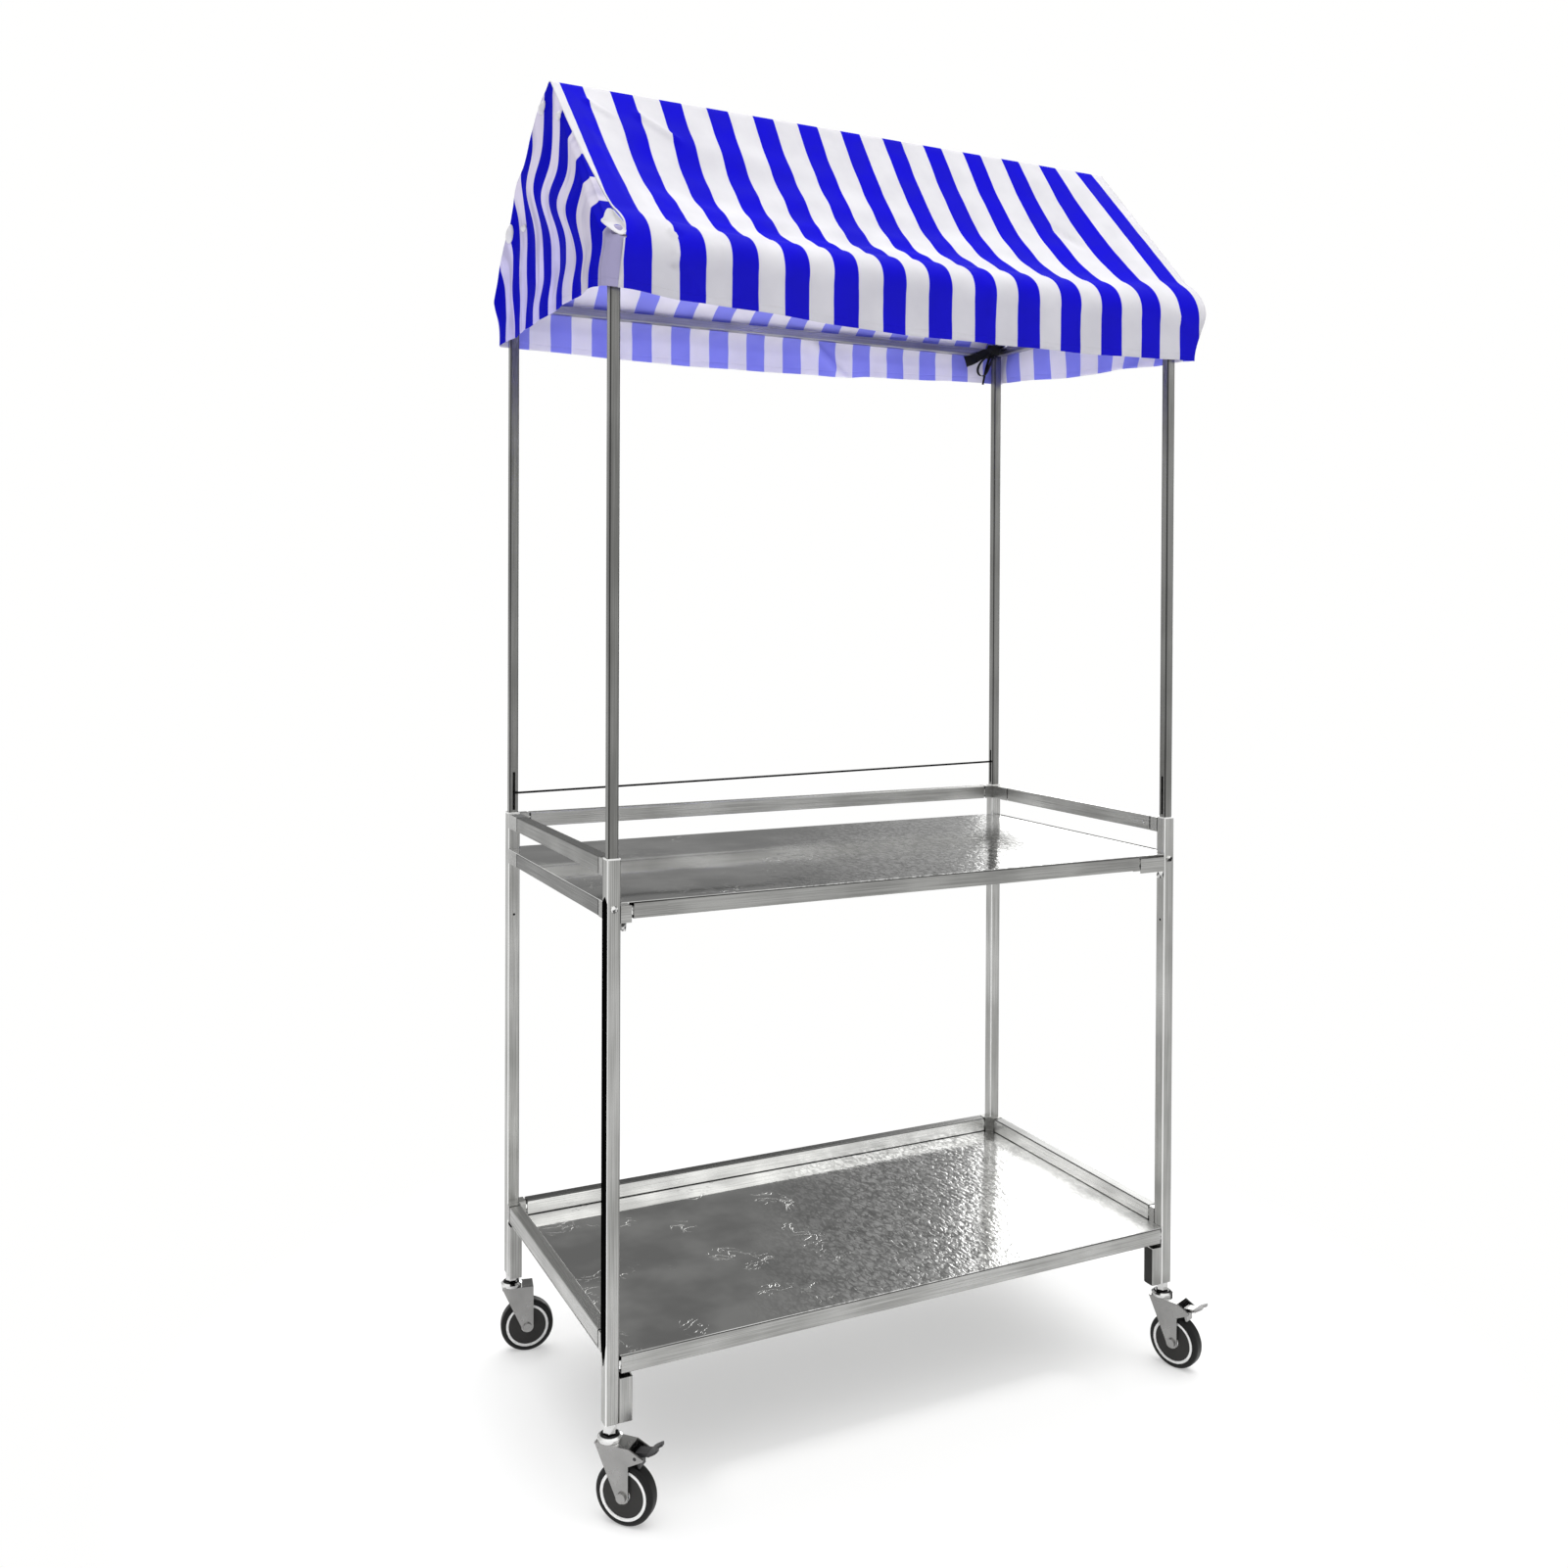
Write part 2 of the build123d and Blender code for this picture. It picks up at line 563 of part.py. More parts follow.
def gable_panel(corners, fold_sign, hem_z):
    """A hanging end cloth: a folded band in plan, cut to the pitch of the roof."""
    edges = []
    far = []
    for (xa, ya), (xb, yb) in zip(corners, corners[1:]):
        fold_sign = -fold_sign
        run = Vector(xb - xa, yb - ya)
        normal = Vector(-run.Y, run.X).normalized()
        bow = normal * (fold_sign * FOLD_DEPTH)
        mid = Vector((xa + xb) / 2, (ya + yb) / 2) + bow
        edges.append(ThreePointArc((xa, ya), (mid.X, mid.Y), (xb, yb)))
        far.append(
            ThreePointArc((xa + CLOTH_T, ya), (mid.X + CLOTH_T, mid.Y), (xb + CLOTH_T, yb))
        )
    first, last = corners[0], corners[-1]
    ends = [
        Line(first, (first[0] + CLOTH_T, first[1])),
        Line(last, (last[0] + CLOTH_T, last[1])),
    ]
    band = extrude(Pos(0, 0, hem_z) * make_face(edges + far + ends), ridge_top_z - hem_z)
    drop = CLOTH_T + SEAM_GAP
    fall = drop / pitch_cos
    side_y = valance_top_y - drop
    outline = Polyline(
        (-side_y, hem_z), (-side_y, valance_top_z), (-eave_end_y, eave_end_z - fall),
        (0, ridge_top_z - fall), (eave_end_y, eave_end_z - fall), (side_y, valance_top_z),
        (side_y, hem_z), close=True,
    )
    face = Plane(origin=(-2 * OUTER_X, 0, 0), x_dir=(0, 1, 0), z_dir=(1, 0, 0))
    return band & extrude(face * make_face(outline), 4 * OUTER_X)


def gable_line(x_mid, twist, folds):
    """Corner points of the folds from the front end to the back end."""
    points = []
    for i in range(folds + 1):
        y = valance_top_y * (2 * i / folds - 1)
        points.append((x_mid + twist * y / valance_y, y))
    return points


left_x = -HALF_X - POST_SIDE / 2 - FOLD_DEPTH - CLOTH_T - SEAT_GAP
left_line = gable_line(left_x, 0, GABLE_FOLDS)
save("canopy_gable_left", gable_panel(left_line, 1, EAVE_Z - LEFT_HEM_L))
right_x = roof_right_x - FOLD_DEPTH - 2 * CLOTH_T
right_line = gable_line(right_x, ROOF_TWIST_RIGHT, GABLE_FOLDS)
save("canopy_gable_right", gable_panel(right_line, 1, EAVE_Z - RIGHT_HEM_L))

# Tie ribbon round the back eave rail, with a knot, a loop and two ends in front of it
ring_in = POST_SIDE / 2 + SEAT_GAP
ring_out = ring_in + RIBBON_T
ribbon_x = HALF_X - RIBBON_INSET
ring_side = Plane(origin=(ribbon_x - RIBBON_W / 2, HALF_Y, EAVE_Z), x_dir=(0, 1, 0), z_dir=(1, 0, 0))
ring_face = RectangleRounded(2 * ring_out, 2 * ring_out, RIBBON_CORNER)
ring_face -= RectangleRounded(2 * ring_in, 2 * ring_in, TUBE_CORNER)
ribbon = extrude(ring_side * ring_face, RIBBON_W)
knot_y = HALF_Y - ring_out + SEAT_GAP
bow_plane = Plane(origin=(ribbon_x, knot_y, EAVE_Z), x_dir=(1, 0, 0), z_dir=(0, -1, 0))
ribbon += extrude(bow_plane * RectangleRounded(KNOT_W, KNOT_H, RIBBON_CORNER), KNOT_T)


def bow_strip(out, drop, width):
    """A flat end of the bow from the knot to a point out to the left and down."""
    reach = Vector(-out, -drop)
    side = Vector(drop, -out).normalized() * (width / 2)
    strip = Polyline(
        (side.X, side.Y), (reach.X + side.X, reach.Y + side.Y),
        (reach.X - side.X, reach.Y - side.Y), (-side.X, -side.Y), close=True,
    )
    return make_face(strip)


ribbon += extrude(bow_plane * bow_strip(BOW_TAIL_OUT, BOW_TAIL_DROP, RIBBON_W), RIBBON_T)
ribbon += extrude(bow_plane * bow_strip(BOW_LOOP_OUT, BOW_LOOP_DROP, BOW_LOOP_W), KNOT_T)
ribbon += extrude(bow_plane * bow_strip(BOW_END_OUT, BOW_END_DROP, BOW_END_W), RIBBON_T)
save("canopy_tie", ribbon)

cord_left_z = POST_SLOT_BOTTOM_Z + CORD_LEFT_RISE
cord_left = (-HALF_X, HALF_Y - POST_SIDE / 2 - CORD_R - SEAT_GAP, cord_left_z)
cord_right = (HALF_X - CORD_TAIL, HALF_Y, POST_SLOT_BOTTOM_Z + CORD_RIGHT_RISE)
cord = rod(CORD_R, cord_left, cord_right)
cord_in = (-HALF_X, HALF_Y - POST_SIDE / 2 + CORD_TAIL, cord_left_z)
cord += rod(CORD_R, cord_left, cord_in) + Pos(*cord_left) * Sphere(CORD_R)
save("rear_cord", cord)

# Casters: one stem on each leg, then fork, axle, wheel and brake pedal about the swivel axis


def turned(points):
    """A body of revolution about Z from (radius, height) points."""
    face = make_face(Polyline(*[(r, 0, z) for r, z in points], close=True))
    return revolve(face, Axis.Z, 360)


def across(solid):
    """Stand a body of revolution on the axle line, which runs along local Y."""
    return Pos(TRAIL, 0, WHEEL_R) * Rot(90, 0, 0) * solid


PEDAL_PIN_U = TRAIL + PEDAL_PIN_OUT
PEDAL_PIN_Z = FORK_TOP_Z - PEDAL_PIN_DROP
PEDAL_TREAD_U = TRAIL + PEDAL_TREAD_OUT
PEDAL_TIP = TRAIL + PEDAL_TIP_OUT
PEDAL_TIP_Z = FORK_TOP_Z + PEDAL_TIP_RISE
FORK_BEAK = TRAIL + FORK_BEAK_OUT
FORK_BEAK_Z = FORK_TOP_Z - FORK_BEAK_DROP
shoe_u = PEDAL_PIN_OUT + PEDAL_PIN_R
PEDAL_SHOE_Z = WHEEL_R + sqrt((WHEEL_R + SHOE_GAP) ** 2 - shoe_u ** 2)
fork_in = HUB_W / 2 + SIDE_GAP
fork_out = fork_in + FORK_T
race_z = FORK_TOP_Z + SIDE_GAP
crown_z = FORK_TOP_Z - FORK_T
head_z = crown_z - SIDE_GAP
nut_z = race_z + RACE_H

stem = turned(
    [
        (0, head_z - RIVET_HEAD_H), (RIVET_HEAD_R, head_z - RIVET_HEAD_H), (RIVET_HEAD_R, head_z),
        (KINGPIN_R, head_z), (KINGPIN_R, race_z), (RACE_R, race_z),
        (RACE_R, race_z + RACE_H / 2), (RACE_NECK_R, nut_z), (KINGPIN_R, nut_z),
        (KINGPIN_R, LEG_FOOT_Z + STEM_L), (0, LEG_FOOT_Z + STEM_L),
    ]
)
nut = RegularPolygon(STEM_NUT_SIDE / 2, 6, major_radius=False)
stem += extrude(Pos(0, 0, nut_z) * nut, LEG_FOOT_Z - nut_z)


def fork_plate(braked):
    """One side plate: crown corner, tapered to the axle, with a beak over the brake."""
    z = FORK_TOP_Z
    axle_z = WHEEL_R
    drop = sqrt((TRAIL + FORK_LEAD) ** 2 + (z - axle_z) ** 2)
    lead_x = TRAIL - FORK_END_R * (z - axle_z) / drop
    lead_z = axle_z - FORK_END_R * (TRAIL + FORK_LEAD) / drop
    trail_x = TRAIL + FORK_TRAIL_SIDE
    edges = [
        Line((-FORK_LEAD, z), (lead_x, lead_z)),
        ThreePointArc(
            (lead_x, lead_z), (TRAIL + FORK_TOE, axle_z - FORK_END_R),
            (trail_x, axle_z + FORK_HEEL),
        ),
    ]
    if braked:
        elbow_z = FORK_BEAK_Z - FORK_TRAIL_SIDE
        edges.append(Line((trail_x, axle_z + FORK_HEEL), (trail_x, elbow_z)))
        edges.append(Line((trail_x, elbow_z), (FORK_BEAK - FORK_T, FORK_BEAK_Z)))
        edges.append(
            ThreePointArc(
                (FORK_BEAK - FORK_T, FORK_BEAK_Z), (FORK_BEAK, FORK_BEAK_Z + FORK_T),
                (FORK_BEAK - FORK_T, FORK_BEAK_Z + 2 * FORK_T),
            )
        )
        edges.append(Line((FORK_BEAK - FORK_T, FORK_BEAK_Z + 2 * FORK_T), (trail_x, z)))
    else:
        edges.append(Line((trail_x, axle_z + FORK_HEEL), (trail_x, z)))
    edges.append(Line((trail_x, z), (-FORK_LEAD, z)))
    return make_face(edges)


def make_fork(braked):
    """Two side plates under one crown, bored for kingpin, axle and pedal pin."""
    outline = fork_plate(braked)
    fork = None
    for side in (-1, 1):
        start = side * fork_in
        face = Plane(origin=(0, start, 0), x_dir=(1, 0, 0), z_dir=(0, -1, 0))
        plate = extrude(face * outline, -side * FORK_T)
        fork = plate if fork is None else fork + plate
    trail_x = TRAIL + FORK_TRAIL_SIDE
    fork += block(-FORK_LEAD, trail_x, -fork_out, fork_out, crown_z, FORK_TOP_Z)
    fork -= rod(KINGPIN_R + RUN_GAP, (0, 0, 0), (0, 0, LEG_FOOT_Z))
    fork -= rod(
        AXLE_R + RUN_GAP, (TRAIL, -2 * fork_out, WHEEL_R), (TRAIL, 2 * fork_out, WHEEL_R)
    )
    if braked:
        fork -= rod(
            PEDAL_PIN_R + RUN_GAP,
            (PEDAL_PIN_U, -2 * fork_out, PEDAL_PIN_Z), (PEDAL_PIN_U, 2 * fork_out, PEDAL_PIN_Z),
        )
    return fork


axle = across(
    turned(
        [
            (0, -fork_out - AXLE_HEAD_H), (AXLE_HEAD_R, -fork_out - AXLE_HEAD_H),
            (AXLE_HEAD_R, -fork_out), (AXLE_R, -fork_out), (AXLE_R, fork_out),
            (AXLE_HEAD_R, fork_out), (AXLE_HEAD_R, fork_out + AXLE_HEAD_H),
            (0, fork_out + AXLE_HEAD_H),
        ]
    )
)

ring_in_r = CORE_R - CORE_RING_W
half_w = WHEEL_W / 2
core = across(
    turned(
        [
            (AXLE_R + RUN_GAP, -HUB_W / 2), (HUB_R, -HUB_W / 2), (HUB_R, -CORE_WEB_W / 2),
            (ring_in_r, -CORE_WEB_W / 2), (ring_in_r, -half_w), (CORE_R, -half_w),
            (CORE_R, half_w), (ring_in_r, half_w), (ring_in_r, CORE_WEB_W / 2),
            (HUB_R, CORE_WEB_W / 2), (HUB_R, HUB_W / 2), (AXLE_R + RUN_GAP, HUB_W / 2),
        ]
    )
)
cover_out = half_w - COVER_INSET
covers = []
for side in (-1, 1):
    z0, z1 = sorted((side * (cover_out - COVER_T), side * cover_out))
    disc = turned(
        [
            (HUB_R + SEAT_GAP, z0), (ring_in_r - SEAT_GAP, z0),
            (ring_in_r - SEAT_GAP, z1), (HUB_R + SEAT_GAP, z1),
        ]
    )
    covers.append(across(disc))

tyre_r = CORE_R + SEAT_GAP / 2
shoulder_u = WHEEL_R - SHOULDER_R
shoulder_w = half_w - SHOULDER_R
bend = SHOULDER_R * cos(radians(45))
tyre_face = make_face(
    [
        Line((tyre_r, 0, -half_w), (shoulder_u, 0, -half_w)),
        ThreePointArc(
            (shoulder_u, 0, -half_w), (shoulder_u + bend, 0, -shoulder_w - bend),
            (WHEEL_R, 0, -shoulder_w),
        ),
        Line((WHEEL_R, 0, -shoulder_w), (WHEEL_R, 0, shoulder_w)),
        ThreePointArc(
            (WHEEL_R, 0, shoulder_w), (shoulder_u + bend, 0, shoulder_w + bend),
            (shoulder_u, 0, half_w),
        ),
        Line((shoulder_u, 0, half_w), (tyre_r, 0, half_w)),
        Line((tyre_r, 0, half_w), (tyre_r, 0, -half_w)),
    ]
)
tyre = across(revolve(tyre_face, Axis.Z, 360))


def make_pedal():
    """A brake lever on its pin: tread outside, arm between the plates, shoe over the tyre."""
    pin = rod(
        PEDAL_PIN_R, (PEDAL_PIN_U, -fork_out, PEDAL_PIN_Z), (PEDAL_PIN_U, fork_out, PEDAL_PIN_Z)
    )
    half = PEDAL_ARM_W / 2
    boss = rod(
        2 * PEDAL_PIN_R, (PEDAL_PIN_U, -half, PEDAL_PIN_Z), (PEDAL_PIN_U, half, PEDAL_PIN_Z)
    )
    arm_start = PEDAL_TREAD_U + PEDAL_T
    rise = (PEDAL_TIP_Z - PEDAL_PIN_Z) / 2
    arm_line = Polyline(
        (PEDAL_PIN_U, PEDAL_PIN_Z - PEDAL_PIN_R), (arm_start, PEDAL_PIN_Z + rise - PEDAL_T),
        (arm_start, PEDAL_PIN_Z + rise), (PEDAL_PIN_U, PEDAL_PIN_Z + 2 * PEDAL_PIN_R),
        close=True,
    )
    side_face = Plane(origin=(0, half, 0), x_dir=(1, 0, 0), z_dir=(0, -1, 0))
    arm = extrude(side_face * make_face(arm_line), PEDAL_ARM_W)
    shoe_line = Polyline(
        (PEDAL_PIN_U - PEDAL_PIN_R, PEDAL_PIN_Z), (PEDAL_PIN_U + 2 * PEDAL_PIN_R, PEDAL_PIN_Z),
        (PEDAL_PIN_U + 2 * PEDAL_PIN_R, PEDAL_SHOE_Z), (PEDAL_PIN_U + PEDAL_PIN_R, PEDAL_SHOE_Z),
        close=True,
    )
    shoe = extrude(side_face * make_face(shoe_line), PEDAL_ARM_W)
    tread_line = Polyline(
        (PEDAL_TREAD_U, PEDAL_PIN_Z + rise - PEDAL_T), (PEDAL_TIP, PEDAL_TIP_Z - PEDAL_T),
        (PEDAL_TIP, PEDAL_TIP_Z), (PEDAL_TREAD_U, PEDAL_PIN_Z + rise), close=True,
    )
    tread_side = Plane(origin=(0, PEDAL_TREAD_W / 2, 0), x_dir=(1, 0, 0), z_dir=(0, -1, 0))
    tread = extrude(tread_side * make_face(tread_line), PEDAL_TREAD_W)
    mid_u = (PEDAL_TREAD_U + PEDAL_TIP) / 2
    plan = Pos(mid_u, 0, 0) * RectangleRounded(
        PEDAL_TIP - PEDAL_TREAD_U, PEDAL_TREAD_W, PEDAL_NOTCH / 2
    )
    plan -= Pos(PEDAL_TIP, 0, 0) * Circle(PEDAL_NOTCH / 2)
    tread &= extrude(plan, LEG_FOOT_Z)
    lever = boss + arm + shoe + tread
    return pin + lever


pedal = make_pedal()
stems = []
for name, (sx, sy) in CORNERS.items():
    x, y = sx * HALF_X, sy * HALF_Y
    braked = sy < 0
    turn = SWIVEL_DEG[name]
    stems.append(placed(stem, x, y, 0, 0))
    save("caster_fork_" + name, placed(make_fork(braked), x, y, 0, turn))
    save("caster_axle_" + name, placed(axle, x, y, 0, turn))
    save("wheel_core_" + name, placed(core, x, y, 0, turn))
    save("wheel_covers_" + name, [placed(c, x, y, 0, turn) for c in covers])
    save("tyre_" + name, placed(tyre, x, y, 0, turn))
    if braked:
        save("brake_pedal_" + name, placed(pedal, x, y, 0, turn))
save("caster_stems", stems)
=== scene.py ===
import bmesh
import bpy
from math import cos, exp, floor, hypot, pi, sin
from mathutils import Matrix, Vector, noise


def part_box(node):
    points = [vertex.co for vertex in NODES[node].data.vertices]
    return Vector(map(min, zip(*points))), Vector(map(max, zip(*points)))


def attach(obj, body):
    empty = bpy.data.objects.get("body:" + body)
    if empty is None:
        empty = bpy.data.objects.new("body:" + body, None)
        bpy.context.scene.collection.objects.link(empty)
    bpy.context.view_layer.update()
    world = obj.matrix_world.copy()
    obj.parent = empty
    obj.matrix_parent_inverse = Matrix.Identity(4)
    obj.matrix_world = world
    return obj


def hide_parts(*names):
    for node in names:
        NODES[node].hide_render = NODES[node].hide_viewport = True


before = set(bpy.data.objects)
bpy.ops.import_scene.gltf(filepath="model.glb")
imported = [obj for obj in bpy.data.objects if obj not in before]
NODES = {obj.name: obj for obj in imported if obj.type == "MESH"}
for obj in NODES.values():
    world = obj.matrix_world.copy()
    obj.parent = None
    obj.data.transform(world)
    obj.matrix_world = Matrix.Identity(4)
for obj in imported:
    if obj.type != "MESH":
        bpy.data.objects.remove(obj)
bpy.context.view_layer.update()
BODY = "cart_frame"

# Camera of the photograph: place in metres, turns in radians, film and lens in millimetres
EYE = Vector((-1.14976, -2.13492, 1.25743))
EYE_YAW = 0.45609
EYE_PITCH = 0.0098983
EYE_ROLL = 0.0045305
FILM_W = 36.0
LENS = 32.945
SHIFT_Y = -0.0996
FAR_CLIP = 200.0

# Frame sizes that the cloth, the dark pieces of painted shade and the finishes follow, read from its
# pieces
LEG_LOW, LEG_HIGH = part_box("leg_back_right")
LEG_X = (LEG_LOW.x + LEG_HIGH.x) / 2
LEG_Y = (LEG_LOW.y + LEG_HIGH.y) / 2
LEG_HALF = (LEG_HIGH.x - LEG_LOW.x) / 2
LEG_TOP = LEG_HIGH.z
POST_LOW, POST_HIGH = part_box("post_back_right")
POST_HALF = (POST_HIGH.x - POST_LOW.x) / 2
EAVE_LOW, EAVE_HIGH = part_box("eave_rail_back")
EAVE_Z = (EAVE_LOW.z + EAVE_HIGH.z) / 2
SHELF_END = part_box("shelf_sheet")[1].x
SHELF_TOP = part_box("shelf_sheet")[1].z
SHELF_RAIL_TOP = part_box("shelf_rail_front")[1].z
TRAY_RAIL_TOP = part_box("tray_rail_front")[1].z
RIM_FOOT, RIM_TOP = (corner.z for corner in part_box("tray_rail_back"))

# Stripes of the cloth: their start, the width of a blue and a white one, and the middle of the blue
STRIPE_START = -0.482
STRIPE_PERIOD = 0.08165
STRIPE_MIDDLE = 0.25

# The two ways of a fade
RISE = (0.0, 1.0)
FALL = (1.0, 0.0)


def smooth(span, value):
    """A soft step from 0 at the start of a span to 1 at its end."""
    share = min(max((value - span[0]) / (span[1] - span[0]), 0.0), 1.0)
    return share * share * (3.0 - 2.0 * share)


def mix(start, end, share):
    """The value that lies share of the way from start to end."""
    return start + (end - start) * share


def along(points, value):
    """A smooth curve through (place, value) pairs, flat past both ends."""
    if value <= points[0][0]:
        return points[0][1]
    for (a, low), (b, high) in zip(points, points[1:]):
        if value <= b:
            return mix(low, high, smooth((a, b), value))
    return points[-1][1]


def bell(distance, reach):
    """A soft bump of height 1 that fades out within about two reaches."""
    return exp(-(distance / reach) ** 2)


def uneven(a, b, seed):
    """Smooth noise between about -1 and 1 over two places."""
    return noise.noise(Vector((a, b, seed)))


# Shader helpers


def add(tree, kind, inputs=None, **settings):
    """One node with its settings, and its inputs set or linked."""
    made = tree.nodes.new(kind)
    for name, value in settings.items():
        setattr(made, name, value)
    for name, value in (inputs or {}).items():
        if isinstance(value, bpy.types.NodeSocket):
            tree.links.new(value, made.inputs[name])
        else:
            made.inputs[name].default_value = value
    return made


def calc(tree, operation, a, b=0.0):
    """A Math node's value."""
    return add(tree, "ShaderNodeMath", {0: a, 1: b}, operation=operation).outputs[0]


def times(tree, first, *others):
    """The product of values."""
    for other in others:
        first = calc(tree, "MULTIPLY", first, other)
    return first


def blend_colour(tree, share, first, second):
    """A colour mixed from two by a share."""
    made = add(tree, "ShaderNodeMix", data_type="RGBA")
    for name, value in (("Factor_Float", share), ("A_Color", first), ("B_Color", second)):
        socket = next(s for s in made.inputs if s.identifier == name)
        if isinstance(value, bpy.types.NodeSocket):
            tree.links.new(value, socket)
        else:
            socket.default_value = value
    return next(s for s in made.outputs if s.identifier == "Result_Color")


def spread(tree, value, span, ends=RISE):
    """A value carried from a span to its ends by a soft step, held at both."""
    made = add(
        tree, "ShaderNodeMapRange",
        {"Value": value, "From Min": span[0], "From Max": span[1], "To Min": ends[0], "To Max": ends[1]},
        interpolation_type="SMOOTHSTEP",
    )
    return made.outputs["Result"]


def mottle(tree, place, scale, detail, distortion=0.0, **settings):
    """The outputs of a Noise Texture node."""
    inputs = {"Vector": place, "Scale": scale, "Detail": detail, "Distortion": distortion}
    return add(tree, "ShaderNodeTexNoise", inputs, **settings).outputs


def split(tree, place):
    """The x, y and z of a place."""
    return add(tree, "ShaderNodeSeparateXYZ", {0: place}).outputs


def stretched(tree, place, scale):
    """A place scaled by its own amount along each axis."""
    return add(tree, "ShaderNodeVectorMath", {0: place, 1: scale}, operation="MULTIPLY").outputs[0]


def off(tree, value, middle):
    """How far a value lies from a middle."""
    return calc(tree, "ABSOLUTE", calc(tree, "SUBTRACT", value, middle))


# Shared effects as node groups

FLOAT = "NodeSocketFloat"
VECTOR = "NodeSocketVector"


def group(name, inputs, outputs):
    """An empty node group with named sockets: its tree, its input sockets and its output sockets."""
    tree = bpy.data.node_groups.new(name, "ShaderNodeTree")
    for label, kind in inputs.items():
        tree.interface.new_socket(label, in_out="INPUT", socket_type=kind)
    for label in outputs:
        tree.interface.new_socket(label, in_out="OUTPUT", socket_type=FLOAT)
    return tree, tree.nodes.new("NodeGroupInput").outputs, tree.nodes.new("NodeGroupOutput").inputs


def use(tree, shared, **inputs):
    """The outputs of a node group placed in a tree."""
    return add(tree, "ShaderNodeGroup", inputs, node_tree=shared).outputs


# Stripes: wander and softness of their edges, and the line of stitching above the hem
STRIPE_WANDER = 0.0022
STRIPE_FADE = (0.243, 0.257)
STITCH_UP = 0.0105
STITCH_FADE = (0.0004, 0.0012)


def make_stripe_group():
    """Broad stripes across the cloth, with a stitched hem line along its edge."""
    tree, given, out = group("cloth_stripes", {"UV": VECTOR}, ["Blue", "Stitch"])
    across, up, _ = split(tree, given["UV"])
    wander = mottle(tree, given["UV"], scale=22.0, detail=1.0)["Fac"]
    shifted = calc(tree, "ADD", across, times(tree, wander, STRIPE_WANDER))
    from_start = calc(tree, "SUBTRACT", shifted, STRIPE_START + STRIPE_WANDER / 2)
    part = calc(tree, "FRACT", calc(tree, "DIVIDE", from_start, STRIPE_PERIOD))
    tree.links.new(spread(tree, off(tree, part, STRIPE_MIDDLE), STRIPE_FADE, FALL), out["Blue"])
    tree.links.new(spread(tree, off(tree, up, STITCH_UP), STITCH_FADE, FALL), out["Stitch"])
    return tree


# Weave: width of a thread, and how creases and tone fade in
THREAD = 0.0013
CREASE_SPAN = (0.3, 1.3)
SHADE_SPAN = (0.3, 0.75)


def make_weave_group():
    """Plain weave of fine threads, with the soft creases of cloth that was packed."""
    tree, given, out = group(
        "cloth_weave", {"UV": VECTOR, "Place": VECTOR}, ["Threads", "Creases", "Shade"]
    )
    across, up, _ = split(tree, given["UV"])
    warp = calc(tree, "SINE", times(tree, across, 2 * pi / THREAD))
    weft = calc(tree, "SINE", times(tree, up, 2 * pi / THREAD))
    tree.links.new(times(tree, warp, weft), out["Threads"])
    folds = mottle(
        tree, given["Place"], scale=5.5, detail=2.0, distortion=0.6, noise_type="RIDGED_MULTIFRACTAL"
    )
    tree.links.new(spread(tree, folds["Fac"], CREASE_SPAN), out["Creases"])
    tone = mottle(tree, given["Place"], scale=14.0, detail=3.0)
    tree.links.new(spread(tree, tone["Fac"], SHADE_SPAN), out["Shade"])
    return tree


# Brushed grain: the share of fine lines in its tone
LINES_SHARE = 0.6


def make_brush_group():
    """Long fine scratches of drawn metal, and their tone mixed with broad clouds."""
    tree, given, out = group("brushed_grain", {"Place": VECTOR, "Stretch": VECTOR}, ["Lines", "Tone"])
    lines = mottle(tree, stretched(tree, given["Place"], given["Stretch"]), scale=1.0, detail=4.0)["Fac"]
    clouds = mottle(tree, given["Place"], scale=9.0, detail=3.0)["Fac"]
    tone = calc(tree, "ADD", times(tree, lines, LINES_SHARE), times(tree, clouds, 1.0 - LINES_SHARE))
    tree.links.new(lines, out["Lines"])
    tree.links.new(tone, out["Tone"])
    return tree


# Tube corners: how far in from the face their rounding starts and ends
CORNER_START = 0.0023
CORNER_END = 0.0013


def make_corner_group():
    """Masks on the four legs or posts, for painted shade and a painted highlight: every rounded corner,
    and the front left one alone.
    """
    tree, given, out = group(
        "tube_corners", {"Place": VECTOR, "Half": FLOAT}, ["Corner", "Front_Left"]
    )
    local = []
    for place, middle in zip(split(tree, given["Place"]), (LEG_X, LEG_Y)):
        side = times(tree, calc(tree, "SIGN", place), middle)
        local.append(calc(tree, "SUBTRACT", place, side))
    nearest = calc(tree, "MINIMUM", *(calc(tree, "ABSOLUTE", place) for place in local))
    start = calc(tree, "SUBTRACT", given["Half"], CORNER_START)
    end = calc(tree, "SUBTRACT", given["Half"], CORNER_END)
    corner = spread(tree, nearest, (start, end))
    front_left = times(tree, *(calc(tree, "LESS_THAN", place, 0.0) for place in local))
    tree.links.new(corner, out["Corner"])
    tree.links.new(times(tree, corner, front_left), out["Front_Left"])
    return tree


# Level lines: the width of their soft edges
LINE_SOFT = 0.0006


def make_line_group():
    """A mask of one level line between two heights, with soft edges."""
    tree, given, out = group("level_line", {"Place": VECTOR, "Low": FLOAT, "High": FLOAT}, ["Line"])
    height = split(tree, given["Place"])[2]
    start = calc(tree, "SUBTRACT", given["Low"], LINE_SOFT)
    end = calc(tree, "ADD", given["High"], LINE_SOFT)
    above = spread(tree, height, (start, given["Low"]))
    below = spread(tree, height, (given["High"], end), FALL)
    tree.links.new(times(tree, above, below), out["Line"])
    return tree


# Moulded surfaces: the middle of their clouds of tone
CLOUD_MIDDLE = 0.5


